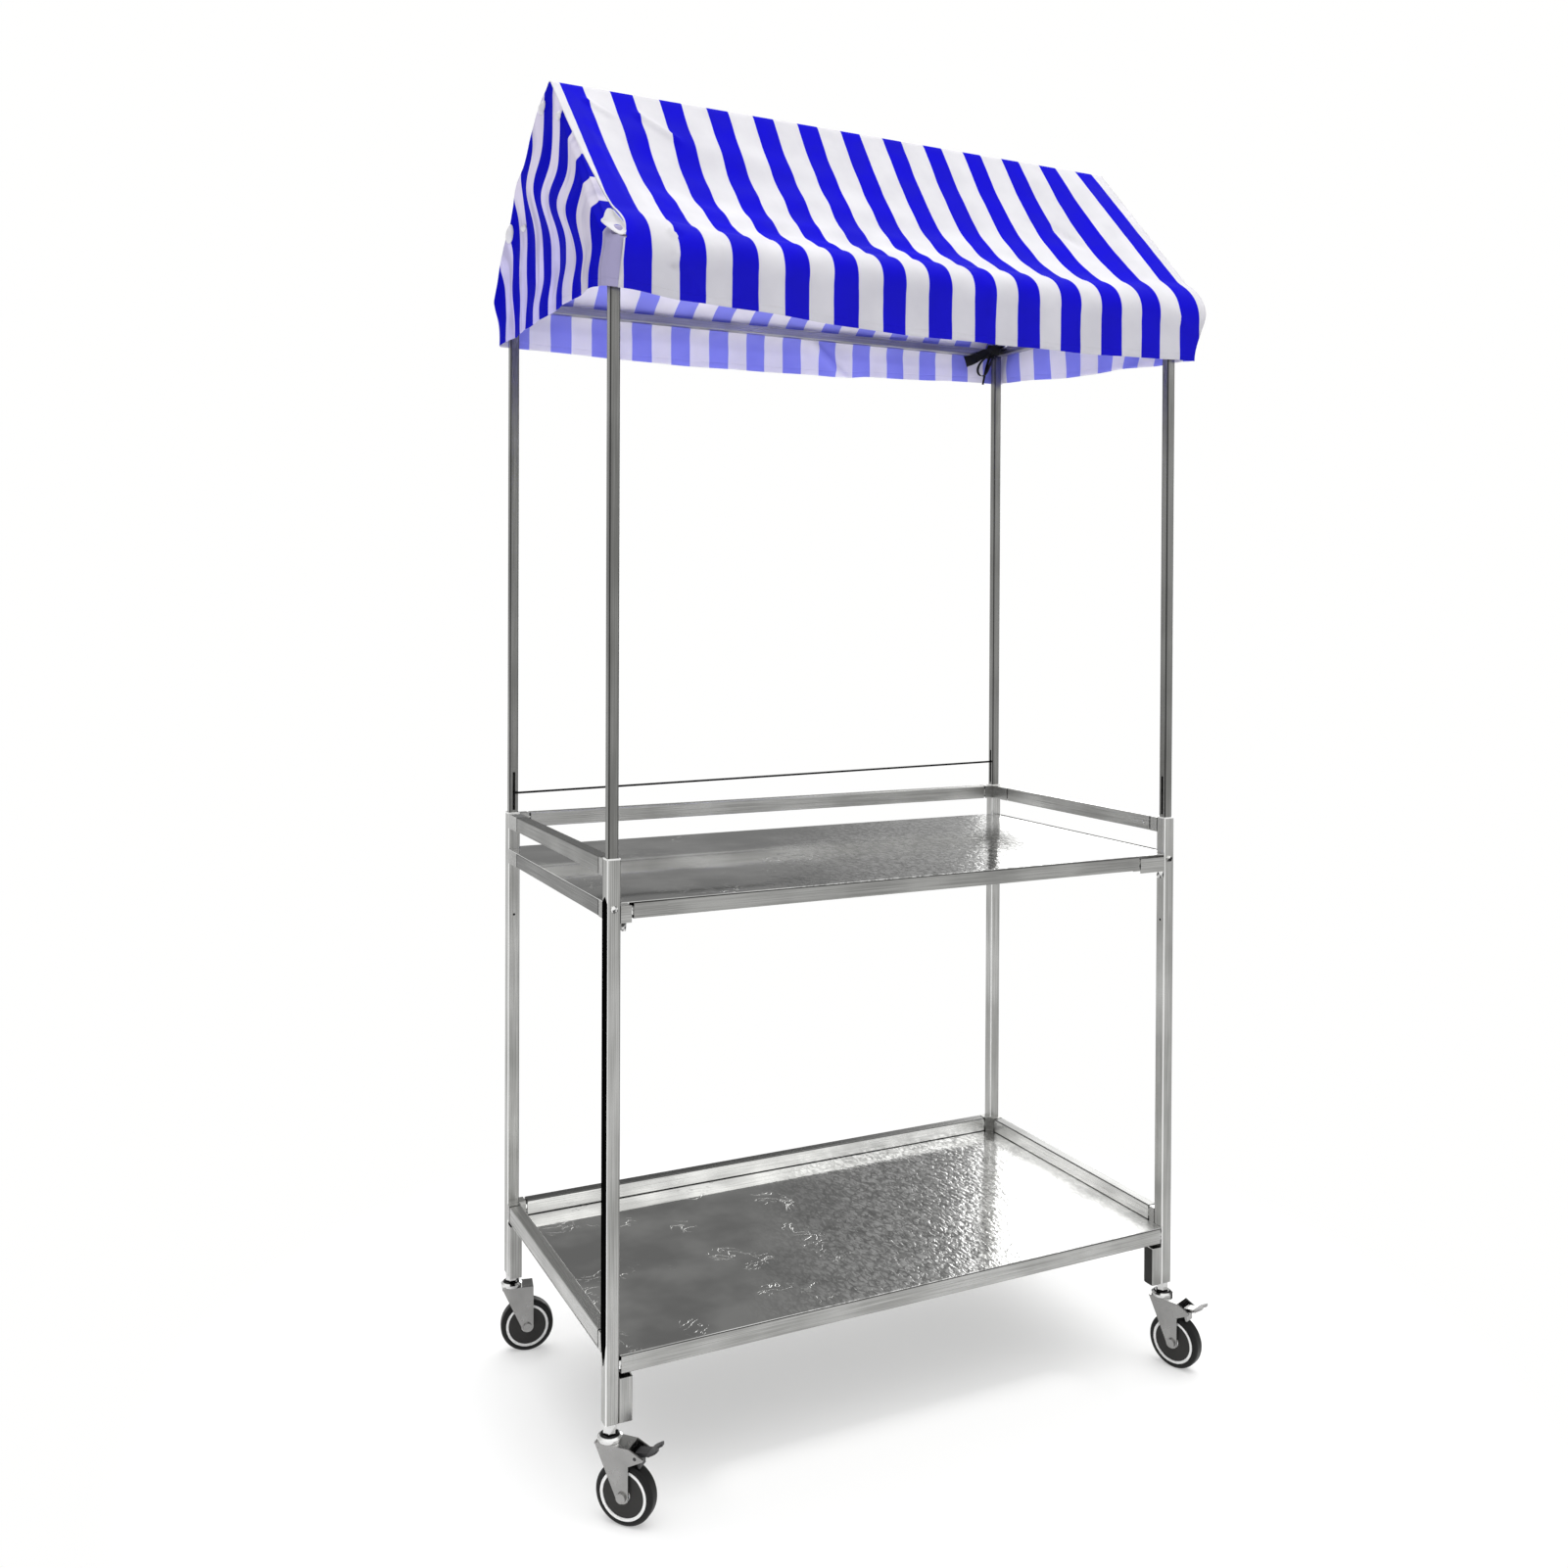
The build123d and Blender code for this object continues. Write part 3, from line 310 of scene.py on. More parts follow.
def make_mould_group():
    """Clouds of tone over a moulded or plated surface, their share within a span, and a fine grain."""
    tree, given, out = group(
        "moulded_tone", {"Place": VECTOR, "Cloud_Scale": FLOAT, "Span": FLOAT, "Grain_Scale": FLOAT},
        ["Clouds", "Share", "Grain"],
    )
    clouds = mottle(tree, given["Place"], scale=given["Cloud_Scale"], detail=3.0)["Fac"]
    start = calc(tree, "SUBTRACT", CLOUD_MIDDLE, given["Span"])
    end = calc(tree, "ADD", CLOUD_MIDDLE, given["Span"])
    grain = mottle(tree, given["Place"], scale=given["Grain_Scale"], detail=2.0)["Fac"]
    tree.links.new(clouds, out["Clouds"])
    tree.links.new(spread(tree, clouds, (start, end)), out["Share"])
    tree.links.new(grain, out["Grain"])
    return tree


STRIPES = make_stripe_group()
WEAVE = make_weave_group()
BRUSH = make_brush_group()
CORNERS = make_corner_group()
LINE = make_line_group()
MOULD = make_mould_group()


def blank(name):
    """A new material with its tree, shader and Object coordinates."""
    material = bpy.data.materials.new(name)
    material.use_nodes = True
    tree = material.node_tree
    shader = tree.nodes["Principled BSDF"]
    place = add(tree, "ShaderNodeTexCoord").outputs["Object"]
    return material, tree, shader, place


def bump(tree, shader, height, strength, distance, under=None):
    """Raise the surface by a height, over an earlier bump if one is given."""
    inputs = {"Height": height, "Strength": strength, "Distance": distance}
    if under is not None:
        inputs["Normal"] = under
    made = add(tree, "ShaderNodeBump", inputs)
    tree.links.new(made.outputs["Normal"], shader.inputs["Normal"])
    return made.outputs["Normal"]


# Striped cloth: colours in pairs from the darker to the lighter; painted light in the lining, painted
# light and shade on the gable, painted shade along the hems
CLOTH_BLUES = ((0.0055, 0.0035, 0.51, 1.0), (0.0065, 0.0040, 0.58, 1.0))
CLOTH_WHITES = ((0.630, 0.622, 0.655, 1.0), (0.700, 0.692, 0.720, 1.0))
# The lining's colours are paler, partly because the back of the print is paler and partly as painted
# light shining through the cloth.
LINING_LIT_BLUES = ((0.220, 0.232, 0.80, 1.0), (0.255, 0.268, 0.86, 1.0))
LINING_LIT_WHITES = ((0.70, 0.68, 0.79, 1.0), (0.79, 0.765, 0.88, 1.0))
# The left gable's colours are a darker, bluer copy of the cloth: painted shade with the blue light the
# cloth throws on it.
GABLE_SHADED_BLUES = ((0.0030, 0.0030, 0.41, 1.0), (0.0035, 0.0035, 0.47, 1.0))
GABLE_SHADED_WHITES = ((0.47, 0.44, 0.77, 1.0), (0.60, 0.57, 0.92, 1.0))
# Painted light and shade on the gable's white: paler towards the ridge and the front, painted shade in
# its folds and at the front corner.
GABLE_WHITE_TOP = (0.69, 0.65, 0.76, 1.0)
GABLE_WHITE_FRONT = (0.58, 0.55, 0.63, 1.0)
GABLE_SHADE = (0.31, 0.29, 0.45, 1.0)
TOP_SPAN_Z = (1.74, 1.96)
TOP_SHARE = (0.0, 0.85)
FRONT_SPAN_Y = (-0.18, -0.04)
FRONT_SHARE = (0.9, 0.0)
FOLD_STRETCH = (20.0, 34.0, 9.0)
FOLD_SPAN = (0.50, 0.70)
FOLD_SHARE = (0.0, 0.55)
CORNER_SPAN_Y = (-0.2600, -0.2520)
# Painted shade on the hanging valances, stronger towards their hems.
HEM_SHADE = (0.02, 0.02, 0.12, 1.0)
HEM_SPAN_Z = (1.735, 1.790)
CLOTH_ROUGH = (0.62, 0.78)
CLOTH_SHINE = 0.02


def gable_white(tree, place, white):
    """The loose gable's white with painted light: paler towards ridge and front, painted shade in its
    folds and at the corner.
    """
    _, y, z = split(tree, place)
    folds = mottle(tree, stretched(tree, place, FOLD_STRETCH), scale=1.0, detail=2.0)["Fac"]
    white = blend_colour(tree, spread(tree, z, TOP_SPAN_Z, TOP_SHARE), white, GABLE_WHITE_TOP)
    white = blend_colour(tree, spread(tree, y, FRONT_SPAN_Y, FRONT_SHARE), white, GABLE_WHITE_FRONT)
    white = blend_colour(tree, spread(tree, folds, FOLD_SPAN, FOLD_SHARE), white, GABLE_SHADE)
    return blend_colour(tree, spread(tree, y, CORNER_SPAN_Y, FALL), white, GABLE_SHADE)


def striped_cloth(name, blues, whites, shade_white=None, crease_depth=0.003, hem_share=0.0):
    """Woven cloth in broad blue and white stripes, with painted shade by a share along the hanging hems.
    """
    material, tree, shader, place = blank(name)
    uv = add(tree, "ShaderNodeUVMap", uv_map="cloth").outputs["UV"]
    stripes = use(tree, STRIPES, UV=uv)
    weave = use(tree, WEAVE, UV=uv, Place=place)
    blue = blend_colour(tree, weave["Shade"], *blues)
    white = blend_colour(tree, weave["Shade"], *whites)
    if shade_white:
        white = shade_white(tree, place, white)
    colour = blend_colour(tree, stripes["Blue"], white, blue)
    # Painted shade: the colour darkens towards the hem of a hanging valance.
    if hem_share:
        near_hem = spread(tree, split(tree, place)[2], HEM_SPAN_Z, (hem_share, 0.0))
        colour = blend_colour(tree, near_hem, colour, HEM_SHADE)
    tree.links.new(colour, shader.inputs["Base Color"])
    tree.links.new(spread(tree, weave["Shade"], RISE, CLOTH_ROUGH), shader.inputs["Roughness"])
    shader.inputs["Specular IOR Level"].default_value = CLOTH_SHINE
    sunk = times(tree, stripes["Stitch"], -1.0)
    under = bump(tree, shader, weave["Creases"], strength=0.30, distance=crease_depth)
    under = bump(tree, shader, weave["Threads"], strength=0.10, distance=0.0003, under=under)
    bump(tree, shader, sunk, strength=0.5, distance=0.0006, under=under)
    return material


# The outer cloth carries painted shade along its hanging valances.
CLOTH_OUT = striped_cloth("striped_cloth", CLOTH_BLUES, CLOTH_WHITES, hem_share=0.22)
# The inside faces take the lining colours, partly painted light shining through the cloth.
CLOTH_IN = striped_cloth("striped_cloth_lining", LINING_LIT_BLUES, LINING_LIT_WHITES)
# The left gable takes the shaded copy of the cloth: painted shade, with painted light and shade in its
# white.
CLOTH_SIDE = striped_cloth(
    "striped_cloth_gable_shaded", GABLE_SHADED_BLUES, GABLE_SHADED_WHITES, shade_white=gable_white, crease_depth=0.010
)

# Drawn steel tube: colours in pairs from dark to light, and the stretch of its grain along each axis
STEEL_TONES = ((0.29, 0.29, 0.28, 1.0), (0.49, 0.49, 0.48, 1.0))
# The post tones are a darker copy of the same steel: painted shade; the left guard rail takes them too.
POST_SHADED_TONES = ((0.17, 0.17, 0.163, 1.0), (0.26, 0.26, 0.252, 1.0))
# The rim tones are a lighter copy of the steel: painted reflection of the bright surroundings.
RIM_LIT_TONES = ((0.58, 0.58, 0.57, 1.0), (0.80, 0.80, 0.79, 1.0))
# The shelf and apron tones are darker copies of the steel: painted shade.
SHELF_SHADED_TONES = ((0.230, 0.230, 0.223, 1.0), (0.390, 0.390, 0.380, 1.0))
APRON_SHADED_TONES = ((0.115, 0.115, 0.112, 1.0), (0.175, 0.175, 0.170, 1.0))
# Painted shade for tube corners, rail edges and seams, and a painted highlight for the legs.
STEEL_EDGE_SHADE = (0.035, 0.035, 0.034, 1.0)
STEEL_HIGHLIGHT = (0.92, 0.92, 0.91, 1.0)
GRAIN_FINE = 700.0
GRAIN_LONG = 7.0
UPRIGHT = (GRAIN_FINE, GRAIN_FINE, GRAIN_LONG)
ACROSS = (GRAIN_LONG, GRAIN_FINE, GRAIN_FINE)
DEEP = (GRAIN_FINE, GRAIN_LONG, GRAIN_FINE)
TONE_SPAN = (0.35, 0.65)
ROUGH_DARK = 0.06
ROUGH_LIGHT = -0.04
# Where the painted highlight runs along the top of each leg.
TOP_HIGHLIGHT_SPAN = (LEG_TOP - 0.0028, LEG_TOP - 0.0020)
# Lines of painted shade along the rails' upper edges and along the seam at the rim's foot.
LINE_SHARE = 0.85
EDGE_LINE = 0.0014
SEAM_LINE = 0.0010
SHELF_LINES = ((SHELF_RAIL_TOP - EDGE_LINE, SHELF_RAIL_TOP),)
TRAY_LINES = ((TRAY_RAIL_TOP - EDGE_LINE, TRAY_RAIL_TOP),)
RIM_LINES = ((RIM_FOOT, RIM_FOOT + SEAM_LINE), (RIM_TOP - EDGE_LINE, RIM_TOP))


def drawn_steel(name, stretch, tones, rough=0.30, half=None, corner_shade_share=0.0, bright_share=0.0, lines=()):
    """Satin stainless tube with its grain along the length.

    Legs and posts, given with their half side, get painted shade in their corners. Legs get a painted
    highlight at the front left corner and along their top. Rails get painted shade along the given level
    lines: seams and upper edges.
    """
    material, tree, shader, place = blank(name)
    grain = use(tree, BRUSH, Place=place, Stretch=stretch)
    colour = blend_colour(tree, spread(tree, grain["Tone"], TONE_SPAN), *tones)
    if half:
        # Painted shade in the corners.
        corners = use(tree, CORNERS, Place=place, Half=half)
        colour = blend_colour(tree, times(tree, corners["Corner"], corner_shade_share), colour, STEEL_EDGE_SHADE)
    # Painted highlight at the front left corner and along the top of each leg.
    if bright_share:
        top_highlight = spread(tree, split(tree, place)[2], TOP_HIGHLIGHT_SPAN)
        bright = calc(tree, "MAXIMUM", corners["Front_Left"], top_highlight)
        colour = blend_colour(tree, times(tree, bright, bright_share), colour, STEEL_HIGHLIGHT)
    # Painted shade along seams and upper edges.
    for low, high in lines:
        line = use(tree, LINE, Place=place, Low=low, High=high)["Line"]
        colour = blend_colour(tree, times(tree, line, LINE_SHARE), colour, STEEL_EDGE_SHADE)
    tree.links.new(colour, shader.inputs["Base Color"])
    roughness = spread(tree, grain["Tone"], TONE_SPAN, (rough + ROUGH_DARK, rough + ROUGH_LIGHT))
    tree.links.new(roughness, shader.inputs["Roughness"])
    shader.inputs["Metallic"].default_value = 1.0
    bump(tree, shader, grain["Lines"], strength=0.06, distance=0.0004)
    return material


STEEL_UP = drawn_steel("drawn_steel_upright", UPRIGHT, STEEL_TONES)
STEEL_X = drawn_steel("drawn_steel_across", ACROSS, STEEL_TONES)
STEEL_Y = drawn_steel("drawn_steel_deep", DEEP, STEEL_TONES)
# The left guard rail takes the darker post tones: painted shade.
STEEL_SIDE = drawn_steel("drawn_steel_side", DEEP, POST_SHADED_TONES)
STEEL_POST = drawn_steel("drawn_steel_post", UPRIGHT, POST_SHADED_TONES, half=POST_HALF, corner_shade_share=0.85)
STEEL_LEG = drawn_steel(
    "drawn_steel_leg", UPRIGHT, STEEL_TONES, half=LEG_HALF, corner_shade_share=0.55, bright_share=0.9
)
# Shelf rails in darker tones: painted shade.
STEEL_SHELF_X = drawn_steel("drawn_steel_shelf_across", ACROSS, SHELF_SHADED_TONES, lines=SHELF_LINES)
STEEL_SHELF_Y = drawn_steel("drawn_steel_shelf_deep", DEEP, APRON_SHADED_TONES)
STEEL_TRAY_X = drawn_steel("drawn_steel_tray_across", ACROSS, STEEL_TONES, lines=TRAY_LINES)
# Tray rims in lighter tones: painted reflection.
STEEL_RIM_X = drawn_steel("bright_rim_across", ACROSS, RIM_LIT_TONES, rough=0.28, lines=RIM_LINES)
STEEL_RIM_Y = drawn_steel("bright_rim_deep", DEEP, RIM_LIT_TONES, rough=0.28, lines=RIM_LINES)

# Polished sheet: the dimples lie in a slanting band, the haze at the right end
SHEET_SLANT = 0.5
DIMPLED_START = (-0.20, 0.10)
DIMPLED_END = (0.26, 0.44)
DIMPLED_END_SHARE = (1.0, 0.2)
DIMPLED_SHARE = 0.8
DIMPLE_STRETCH = (1.0, 0.5, 1.0)
DIMPLE_SPAN = (0.38, 0.62)
WEAR_SPAN = (0.36, 0.64)
# The dimples' light and dark specks are painted glints, and their dark veins painted shade.
SHEET_DULL = (0.42, 0.42, 0.415, 1.0)
SHEET_CLEAR = (0.64, 0.64, 0.63, 1.0)
SHEET_PAINTED_GLINT = (0.92, 0.92, 0.915, 1.0)
VEIN_SHADE = (0.14, 0.14, 0.138, 1.0)
VEIN_WANDER = (0.010, 0.010, 0.0)
VEIN_SCALE = 95.0
VEIN_SPAN = (0.03, 0.14)
VEIN_PATCH_SPAN = (0.40, 0.58)
VEIN_PATCH_SHARE = (0.25, 1.0)
VEIN_SHARE = 0.75
HAZE_SPAN = (0.27, 0.50)
HAZE_ROUGH = (0.06, 0.40)
WRINKLE_LEVEL = 0.5
WRINKLE_SPAN = (0.002, 0.020)
WRINKLE_PATCH_SPAN = (0.53, 0.66)


def polished_sheet(name):
    """Thin mirror-polished sheet: a few wrinkles on the left, fine dimples and wear to the right; the
    dimples carry painted glints and painted shade.
    """
    material, tree, shader, place = blank(name)
    x, y, _ = split(tree, place)
    aslant = calc(tree, "SUBTRACT", x, times(tree, y, SHEET_SLANT))
    dimpled = times(
        tree, spread(tree, aslant, DIMPLED_START), spread(tree, aslant, DIMPLED_END, DIMPLED_END_SHARE)
    )
    clouds = mottle(tree, place, scale=7.0, detail=3.0)["Fac"]
    plain = blend_colour(tree, spread(tree, clouds, WEAR_SPAN), SHEET_DULL, SHEET_CLEAR)
    drawn_out = stretched(tree, place, DIMPLE_STRETCH)
    dimple = mottle(tree, drawn_out, scale=125.0, detail=2.5, distortion=0.9)["Fac"]
    # Painted glints and painted shade: the dimples' specks of light and dark in the colour.
    hammered = blend_colour(tree, spread(tree, dimple, DIMPLE_SPAN), SHEET_DULL, SHEET_PAINTED_GLINT)
    wander = mottle(tree, place, scale=60.0, detail=2.0)
    moved = add(
        tree, "ShaderNodeVectorMath", {0: wander["Color"], 1: VEIN_WANDER, 2: drawn_out},
        operation="MULTIPLY_ADD",
    )
    cells = add(
        tree, "ShaderNodeTexVoronoi", {"Vector": moved.outputs[0], "Scale": VEIN_SCALE},
        feature="DISTANCE_TO_EDGE",
    )
    vein = spread(tree, cells.outputs["Distance"], VEIN_SPAN, FALL)
    patches = spread(tree, wander["Fac"], VEIN_PATCH_SPAN, VEIN_PATCH_SHARE)
    # Painted shade in the veins between the dimples.
    hammered = blend_colour(tree, times(tree, vein, patches, VEIN_SHARE), hammered, VEIN_SHADE)
    colour = blend_colour(tree, times(tree, dimpled, DIMPLED_SHARE), plain, hammered)
    tree.links.new(colour, shader.inputs["Base Color"])
    tree.links.new(spread(tree, aslant, HAZE_SPAN, HAZE_ROUGH), shader.inputs["Roughness"])
    shader.inputs["Metallic"].default_value = 1.0
    ripple = mottle(tree, place, scale=5.0, detail=1.0, distortion=0.4)["Fac"]
    folds = mottle(tree, place, scale=26.0, detail=3.0, distortion=1.0)["Fac"]
    patch = mottle(tree, place, scale=9.0, detail=1.0)["Fac"]
    wrinkle = times(
        tree, spread(tree, off(tree, folds, WRINKLE_LEVEL), WRINKLE_SPAN, FALL),
        spread(tree, patch, WRINKLE_PATCH_SPAN), calc(tree, "SUBTRACT", 1.0, dimpled),
    )
    under = bump(tree, shader, ripple, strength=0.20, distance=0.004)
    under = bump(tree, shader, wrinkle, strength=0.45, distance=0.0006, under=under)
    bump(tree, shader, times(tree, dimple, dimpled), strength=0.45, distance=0.0010, under=under)
    return material


SHEET = polished_sheet("polished_sheet")

# Moulded and plated pieces, and the painted shade in the groove of a caster stem
CLOUD_SPAN = (0.3, 0.7)
ROUGH_SPREAD = 0.07
MOULD_STRENGTH = 0.25
GROOVE_Z = 0.1204
GROOVE_HALF = 0.0011
GROOVE_SHADE = (0.012, 0.012, 0.012, 1.0)


def moulded(
    name, dark, light, rough, grain_scale, grain_depth, metal=0.0, shine=0.5, cloud_scale=30.0, span=0.5
):
    """Moulded plastic, rubber or plated steel with clouds of tone and a fine surface grain."""
    material, tree, shader, place = blank(name)
    tone = use(tree, MOULD, Place=place, Cloud_Scale=cloud_scale, Span=span, Grain_Scale=grain_scale)
    tree.links.new(blend_colour(tree, tone["Share"], dark, light), shader.inputs["Base Color"])
    roughness = spread(tree, tone["Clouds"], CLOUD_SPAN, (rough - ROUGH_SPREAD, rough + ROUGH_SPREAD))
    tree.links.new(roughness, shader.inputs["Roughness"])
    shader.inputs["Metallic"].default_value = metal
    shader.inputs["Specular IOR Level"].default_value = shine
    bump(tree, shader, tone["Grain"], strength=MOULD_STRENGTH, distance=grain_depth)
    return material


def darken_groove(material):
    """Painted shade in the groove between the race and the nut of each stem."""
    tree = material.node_tree
    base = tree.nodes["Principled BSDF"].inputs["Base Color"]
    place = add(tree, "ShaderNodeTexCoord").outputs["Object"]
    height = split(tree, place)[2]
    groove = spread(tree, off(tree, height, GROOVE_Z), (GROOVE_HALF, 2 * GROOVE_HALF), FALL)
    tree.links.new(blend_colour(tree, groove, base.links[0].from_socket, GROOVE_SHADE), base)


PLATED = moulded(
    "plated_steel", dark=(0.24, 0.24, 0.235, 1.0), light=(0.38, 0.375, 0.37, 1.0),
    rough=0.24, grain_scale=420.0, grain_depth=0.0002, metal=1.0,
)
CHROME = moulded(
    "bright_chrome", dark=(0.40, 0.40, 0.40, 1.0), light=(0.90, 0.90, 0.89, 1.0),
    rough=0.12, grain_scale=300.0, grain_depth=0.0003, metal=1.0,
)
# The stems get painted shade in their groove.
darken_groove(CHROME)
# Plate with painted glints and painted shade: its black and white clouds stand for highlights and dark
# reflections.
GLINT_PLATE = moulded(
    "plate_painted_glints", dark=(0.05, 0.05, 0.05, 1.0), light=(0.95, 0.95, 0.94, 1.0),
    rough=0.20, grain_scale=160.0, grain_depth=0.0012, metal=1.0, cloud_scale=150.0, span=0.12,
)
# Bolt heads with painted highlights and painted shade in black and white clouds.
BOLT = moulded(
    "bolt_steel", dark=(0.02, 0.02, 0.02, 1.0), light=(0.95, 0.95, 0.94, 1.0),
    rough=0.25, grain_scale=500.0, grain_depth=0.0002, metal=1.0, cloud_scale=150.0, span=0.10,
)
BLACK_PLASTIC = moulded(
    "black_plastic", dark=(0.012, 0.012, 0.013, 1.0), light=(0.024, 0.024, 0.026, 1.0),
    rough=0.42, grain_scale=900.0, grain_depth=0.0002,
)
WHITE_PLASTIC = moulded(
    "white_plastic", dark=(0.92, 0.92, 0.91, 1.0), light=(0.98, 0.98, 0.97, 1.0),
    rough=0.40, grain_scale=900.0, grain_depth=0.0002,
)
GREY_PLASTIC = moulded(
    "grey_plastic", dark=(0.020, 0.019, 0.018, 1.0), light=(0.036, 0.035, 0.033, 1.0),
    rough=0.55, grain_scale=900.0, grain_depth=0.0002, shine=0.3,
)
TYRE_RUBBER = moulded(
    "tyre_rubber", dark=(0.002, 0.002, 0.002, 1.0), light=(0.006, 0.006, 0.006, 1.0),
    rough=0.50, grain_scale=700.0, grain_depth=0.0003, shine=0.28,
)
RIBBON = moulded(
    "black_ribbon", dark=(0.006, 0.006, 0.007, 1.0), light=(0.014, 0.014, 0.015, 1.0),
    rough=0.55, grain_scale=1500.0, grain_depth=0.0003, shine=0.1,
)
BRAID = moulded(
    "black_braid", dark=(0.003, 0.003, 0.003, 1.0), light=(0.008, 0.008, 0.008, 1.0),
    rough=0.75, grain_scale=1300.0, grain_depth=0.0006, shine=0.1,
)
# Near-black material of the strips of painted shade.
SHADE_STRIP = moulded(
    "shade_strip", dark=(0.001, 0.001, 0.001, 1.0), light=(0.003, 0.003, 0.003, 1.0),
    rough=0.80, grain_scale=400.0, grain_depth=0.0001, shine=0.0,
)

# The finish of each frame piece, by the longest start of its name
FINISH_BY_NODE = {
    "leg_": STEEL_LEG, "post_": STEEL_POST, "foot_stubs": STEEL_UP,
    "tray_rail_front": STEEL_TRAY_X, "tray_rail_back": STEEL_RIM_X, "tray_rail_left": STEEL_Y,
    "tray_rail_right": STEEL_RIM_Y, "shelf_rail_front": STEEL_SHELF_X, "shelf_rail_back": STEEL_X,
    "shelf_rail_left": STEEL_SHELF_Y, "shelf_rail_right": STEEL_Y, "guard_rail_back": STEEL_X,
    "guard_rail_left": STEEL_SIDE, "guard_rail_right": STEEL_Y, "rail_brackets": STEEL_X,
    "rail_spigots": GLINT_PLATE, "eave_rail": STEEL_X, "gable_rails": STEEL_Y,
    "canopy_rafters": STEEL_Y, "ridge_tube": STEEL_X, "tray_sheet": SHEET, "shelf_sheet": SHEET,
    "leg_foot_plugs": BLACK_PLASTIC, "canopy_joints": BLACK_PLASTIC, "frame_bolts": BOLT,
    "caster_stems": CHROME, "caster_fork": PLATED, "caster_axle": PLATED,
    "wheel_core": WHITE_PLASTIC, "wheel_covers": GREY_PLASTIC, "tyre_": TYRE_RUBBER,
    "brake_pedal_front_left": BLACK_PLASTIC, "brake_pedal_front_right": PLATED,
}
for node_name, node in NODES.items():
    starts = [start for start in FINISH_BY_NODE if node_name.startswith(start)]
    if starts:
        node.data.materials.clear()
        node.data.materials.append(FINISH_BY_NODE[max(starts, key=len)])

# Camera
aim = Vector((sin(EYE_YAW) * cos(EYE_PITCH), cos(EYE_YAW) * cos(EYE_PITCH), -sin(EYE_PITCH)))
level_right = Vector((cos(EYE_YAW), -sin(EYE_YAW), 0.0))
level_up = level_right.cross(aim)
eye_right = level_right * cos(EYE_ROLL) + level_up * sin(EYE_ROLL)
eye_up = level_up * cos(EYE_ROLL) - level_right * sin(EYE_ROLL)
camera_data = bpy.data.cameras.new("photo_camera")
camera = bpy.data.objects.new("photo_camera", camera_data)
bpy.context.collection.objects.link(camera)
turn = Matrix((eye_right, eye_up, -aim)).transposed()
camera.matrix_world = Matrix.Translation(EYE) @ turn.to_4x4()
camera_data.sensor_fit = "HORIZONTAL"
camera_data.sensor_width = FILM_W
camera_data.lens = LENS
camera_data.shift_y = SHIFT_Y
camera_data.clip_end = FAR_CLIP
bpy.context.scene.camera = camera


# Piece helpers


def link(name, data, materials):
    """A finished piece that rides on the cart's frame."""
    piece = bpy.data.objects.new(name, data)
    bpy.context.collection.objects.link(piece)
    data.materials.clear()
    for material in materials:
        data.materials.append(material)
    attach(piece, BODY)
    return piece


def mesh_piece(name, bm, materials):
    """A bmesh made into a smooth piece."""
    data = bpy.data.meshes.new(name)
    bm.to_mesh(data)
    bm.free()
    data.polygons.foreach_set("use_smooth", [True] * len(data.polygons))
    return link(name, data, materials)


def thicken(piece, thickness, offset):
    """A Solidify modifier that gives a thin piece its wall."""
    wall = piece.modifiers.new("wall", "SOLIDIFY")
    wall.thickness = thickness
    wall.offset = offset
    return wall


def bend(start, corner, end, share):
    """A point of a curve that leaves start towards corner and ends at end."""
    a = 1.0 - share
    return tuple(
        a * a * s + 2 * a * share * c + share * share * e for s, c, e in zip(start, corner, end)
    )


def flow(points, share):
    """A point of a smooth line from the middle of the first leg to the middle of the last one."""
    place = share * (len(points) - 2)
    index = min(int(place), len(points) - 3)
    before, here, after = (Vector(point) for point in points[index:index + 3])
    return Vector(bend((before + here) / 2, here, (here + after) / 2, place - index))


# Taut cord behind the counter, from the slot of the back left post to the back right one
CORD_R = 0.0018
CORD_POINTS = (
    (-0.490, 0.2515, 0.952), (-0.490, 0.2440, 0.952), (-0.4885, 0.2428, 0.952),
    (-0.472, 0.2430, 0.9522), (0.466, 0.2528, 0.9637), (0.484, 0.2530, 0.964),
)


def route(name, points):
    """A NURBS line with the route's points as its control points."""
    data = bpy.data.curves.new(name, "CURVE")
    data.dimensions = "3D"
    data.twist_mode = "Z_UP"
    spline = data.splines.new("NURBS")
    spline.points.add(len(points) - 1)
    for point, place in zip(spline.points, points):
        point.co = (*place, 1.0)
    spline.order_u = 3
    spline.use_endpoint_u = True
    spline.resolution_u = 12
    return data


cord_line = route("rear_cord_line", CORD_POINTS)
cord_line.bevel_depth = CORD_R
cord_line.bevel_resolution = 4
rear_cord = link("rear_cord_braid", cord_line, [BRAID])
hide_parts("rear_cord")

# Tie ribbon at the back right corner: wrap, knot, loop and two ends
RIBBON_T = 0.0008
RIBBON_CURL = 0.0012
TAIL_POINTS = ((0.462, 0.235, 1.777), (0.445, 0.233, 1.770), (0.425, 0.233, 1.758), (0.405, 0.235, 1.752))
LOOP_POINTS = (
    (0.468, 0.2345, 1.774), (0.447, 0.232, 1.761), (0.433, 0.231, 1.746), (0.431, 0.231, 1.731),
    (0.441, 0.231, 1.724), (0.452, 0.231, 1.731), (0.461, 0.232, 1.750), (0.473, 0.2345, 1.772),
)
END_POINTS = ((0.466, 0.2375, 1.772), (0.457, 0.237, 1.748), (0.451, 0.236, 1.728), (0.447, 0.236, 1.710))
WRAP_X = 0.473
WRAP_WIDTH = 0.012
WRAP_GAP = 0.0007
WRAP_ROUND = 0.002
KNOT_MID = (0.4765, 0.2365, 1.7800)
KNOT_HALF = (0.0195, 0.0068, 0.0112)
KNOT_ROUND = 0.7
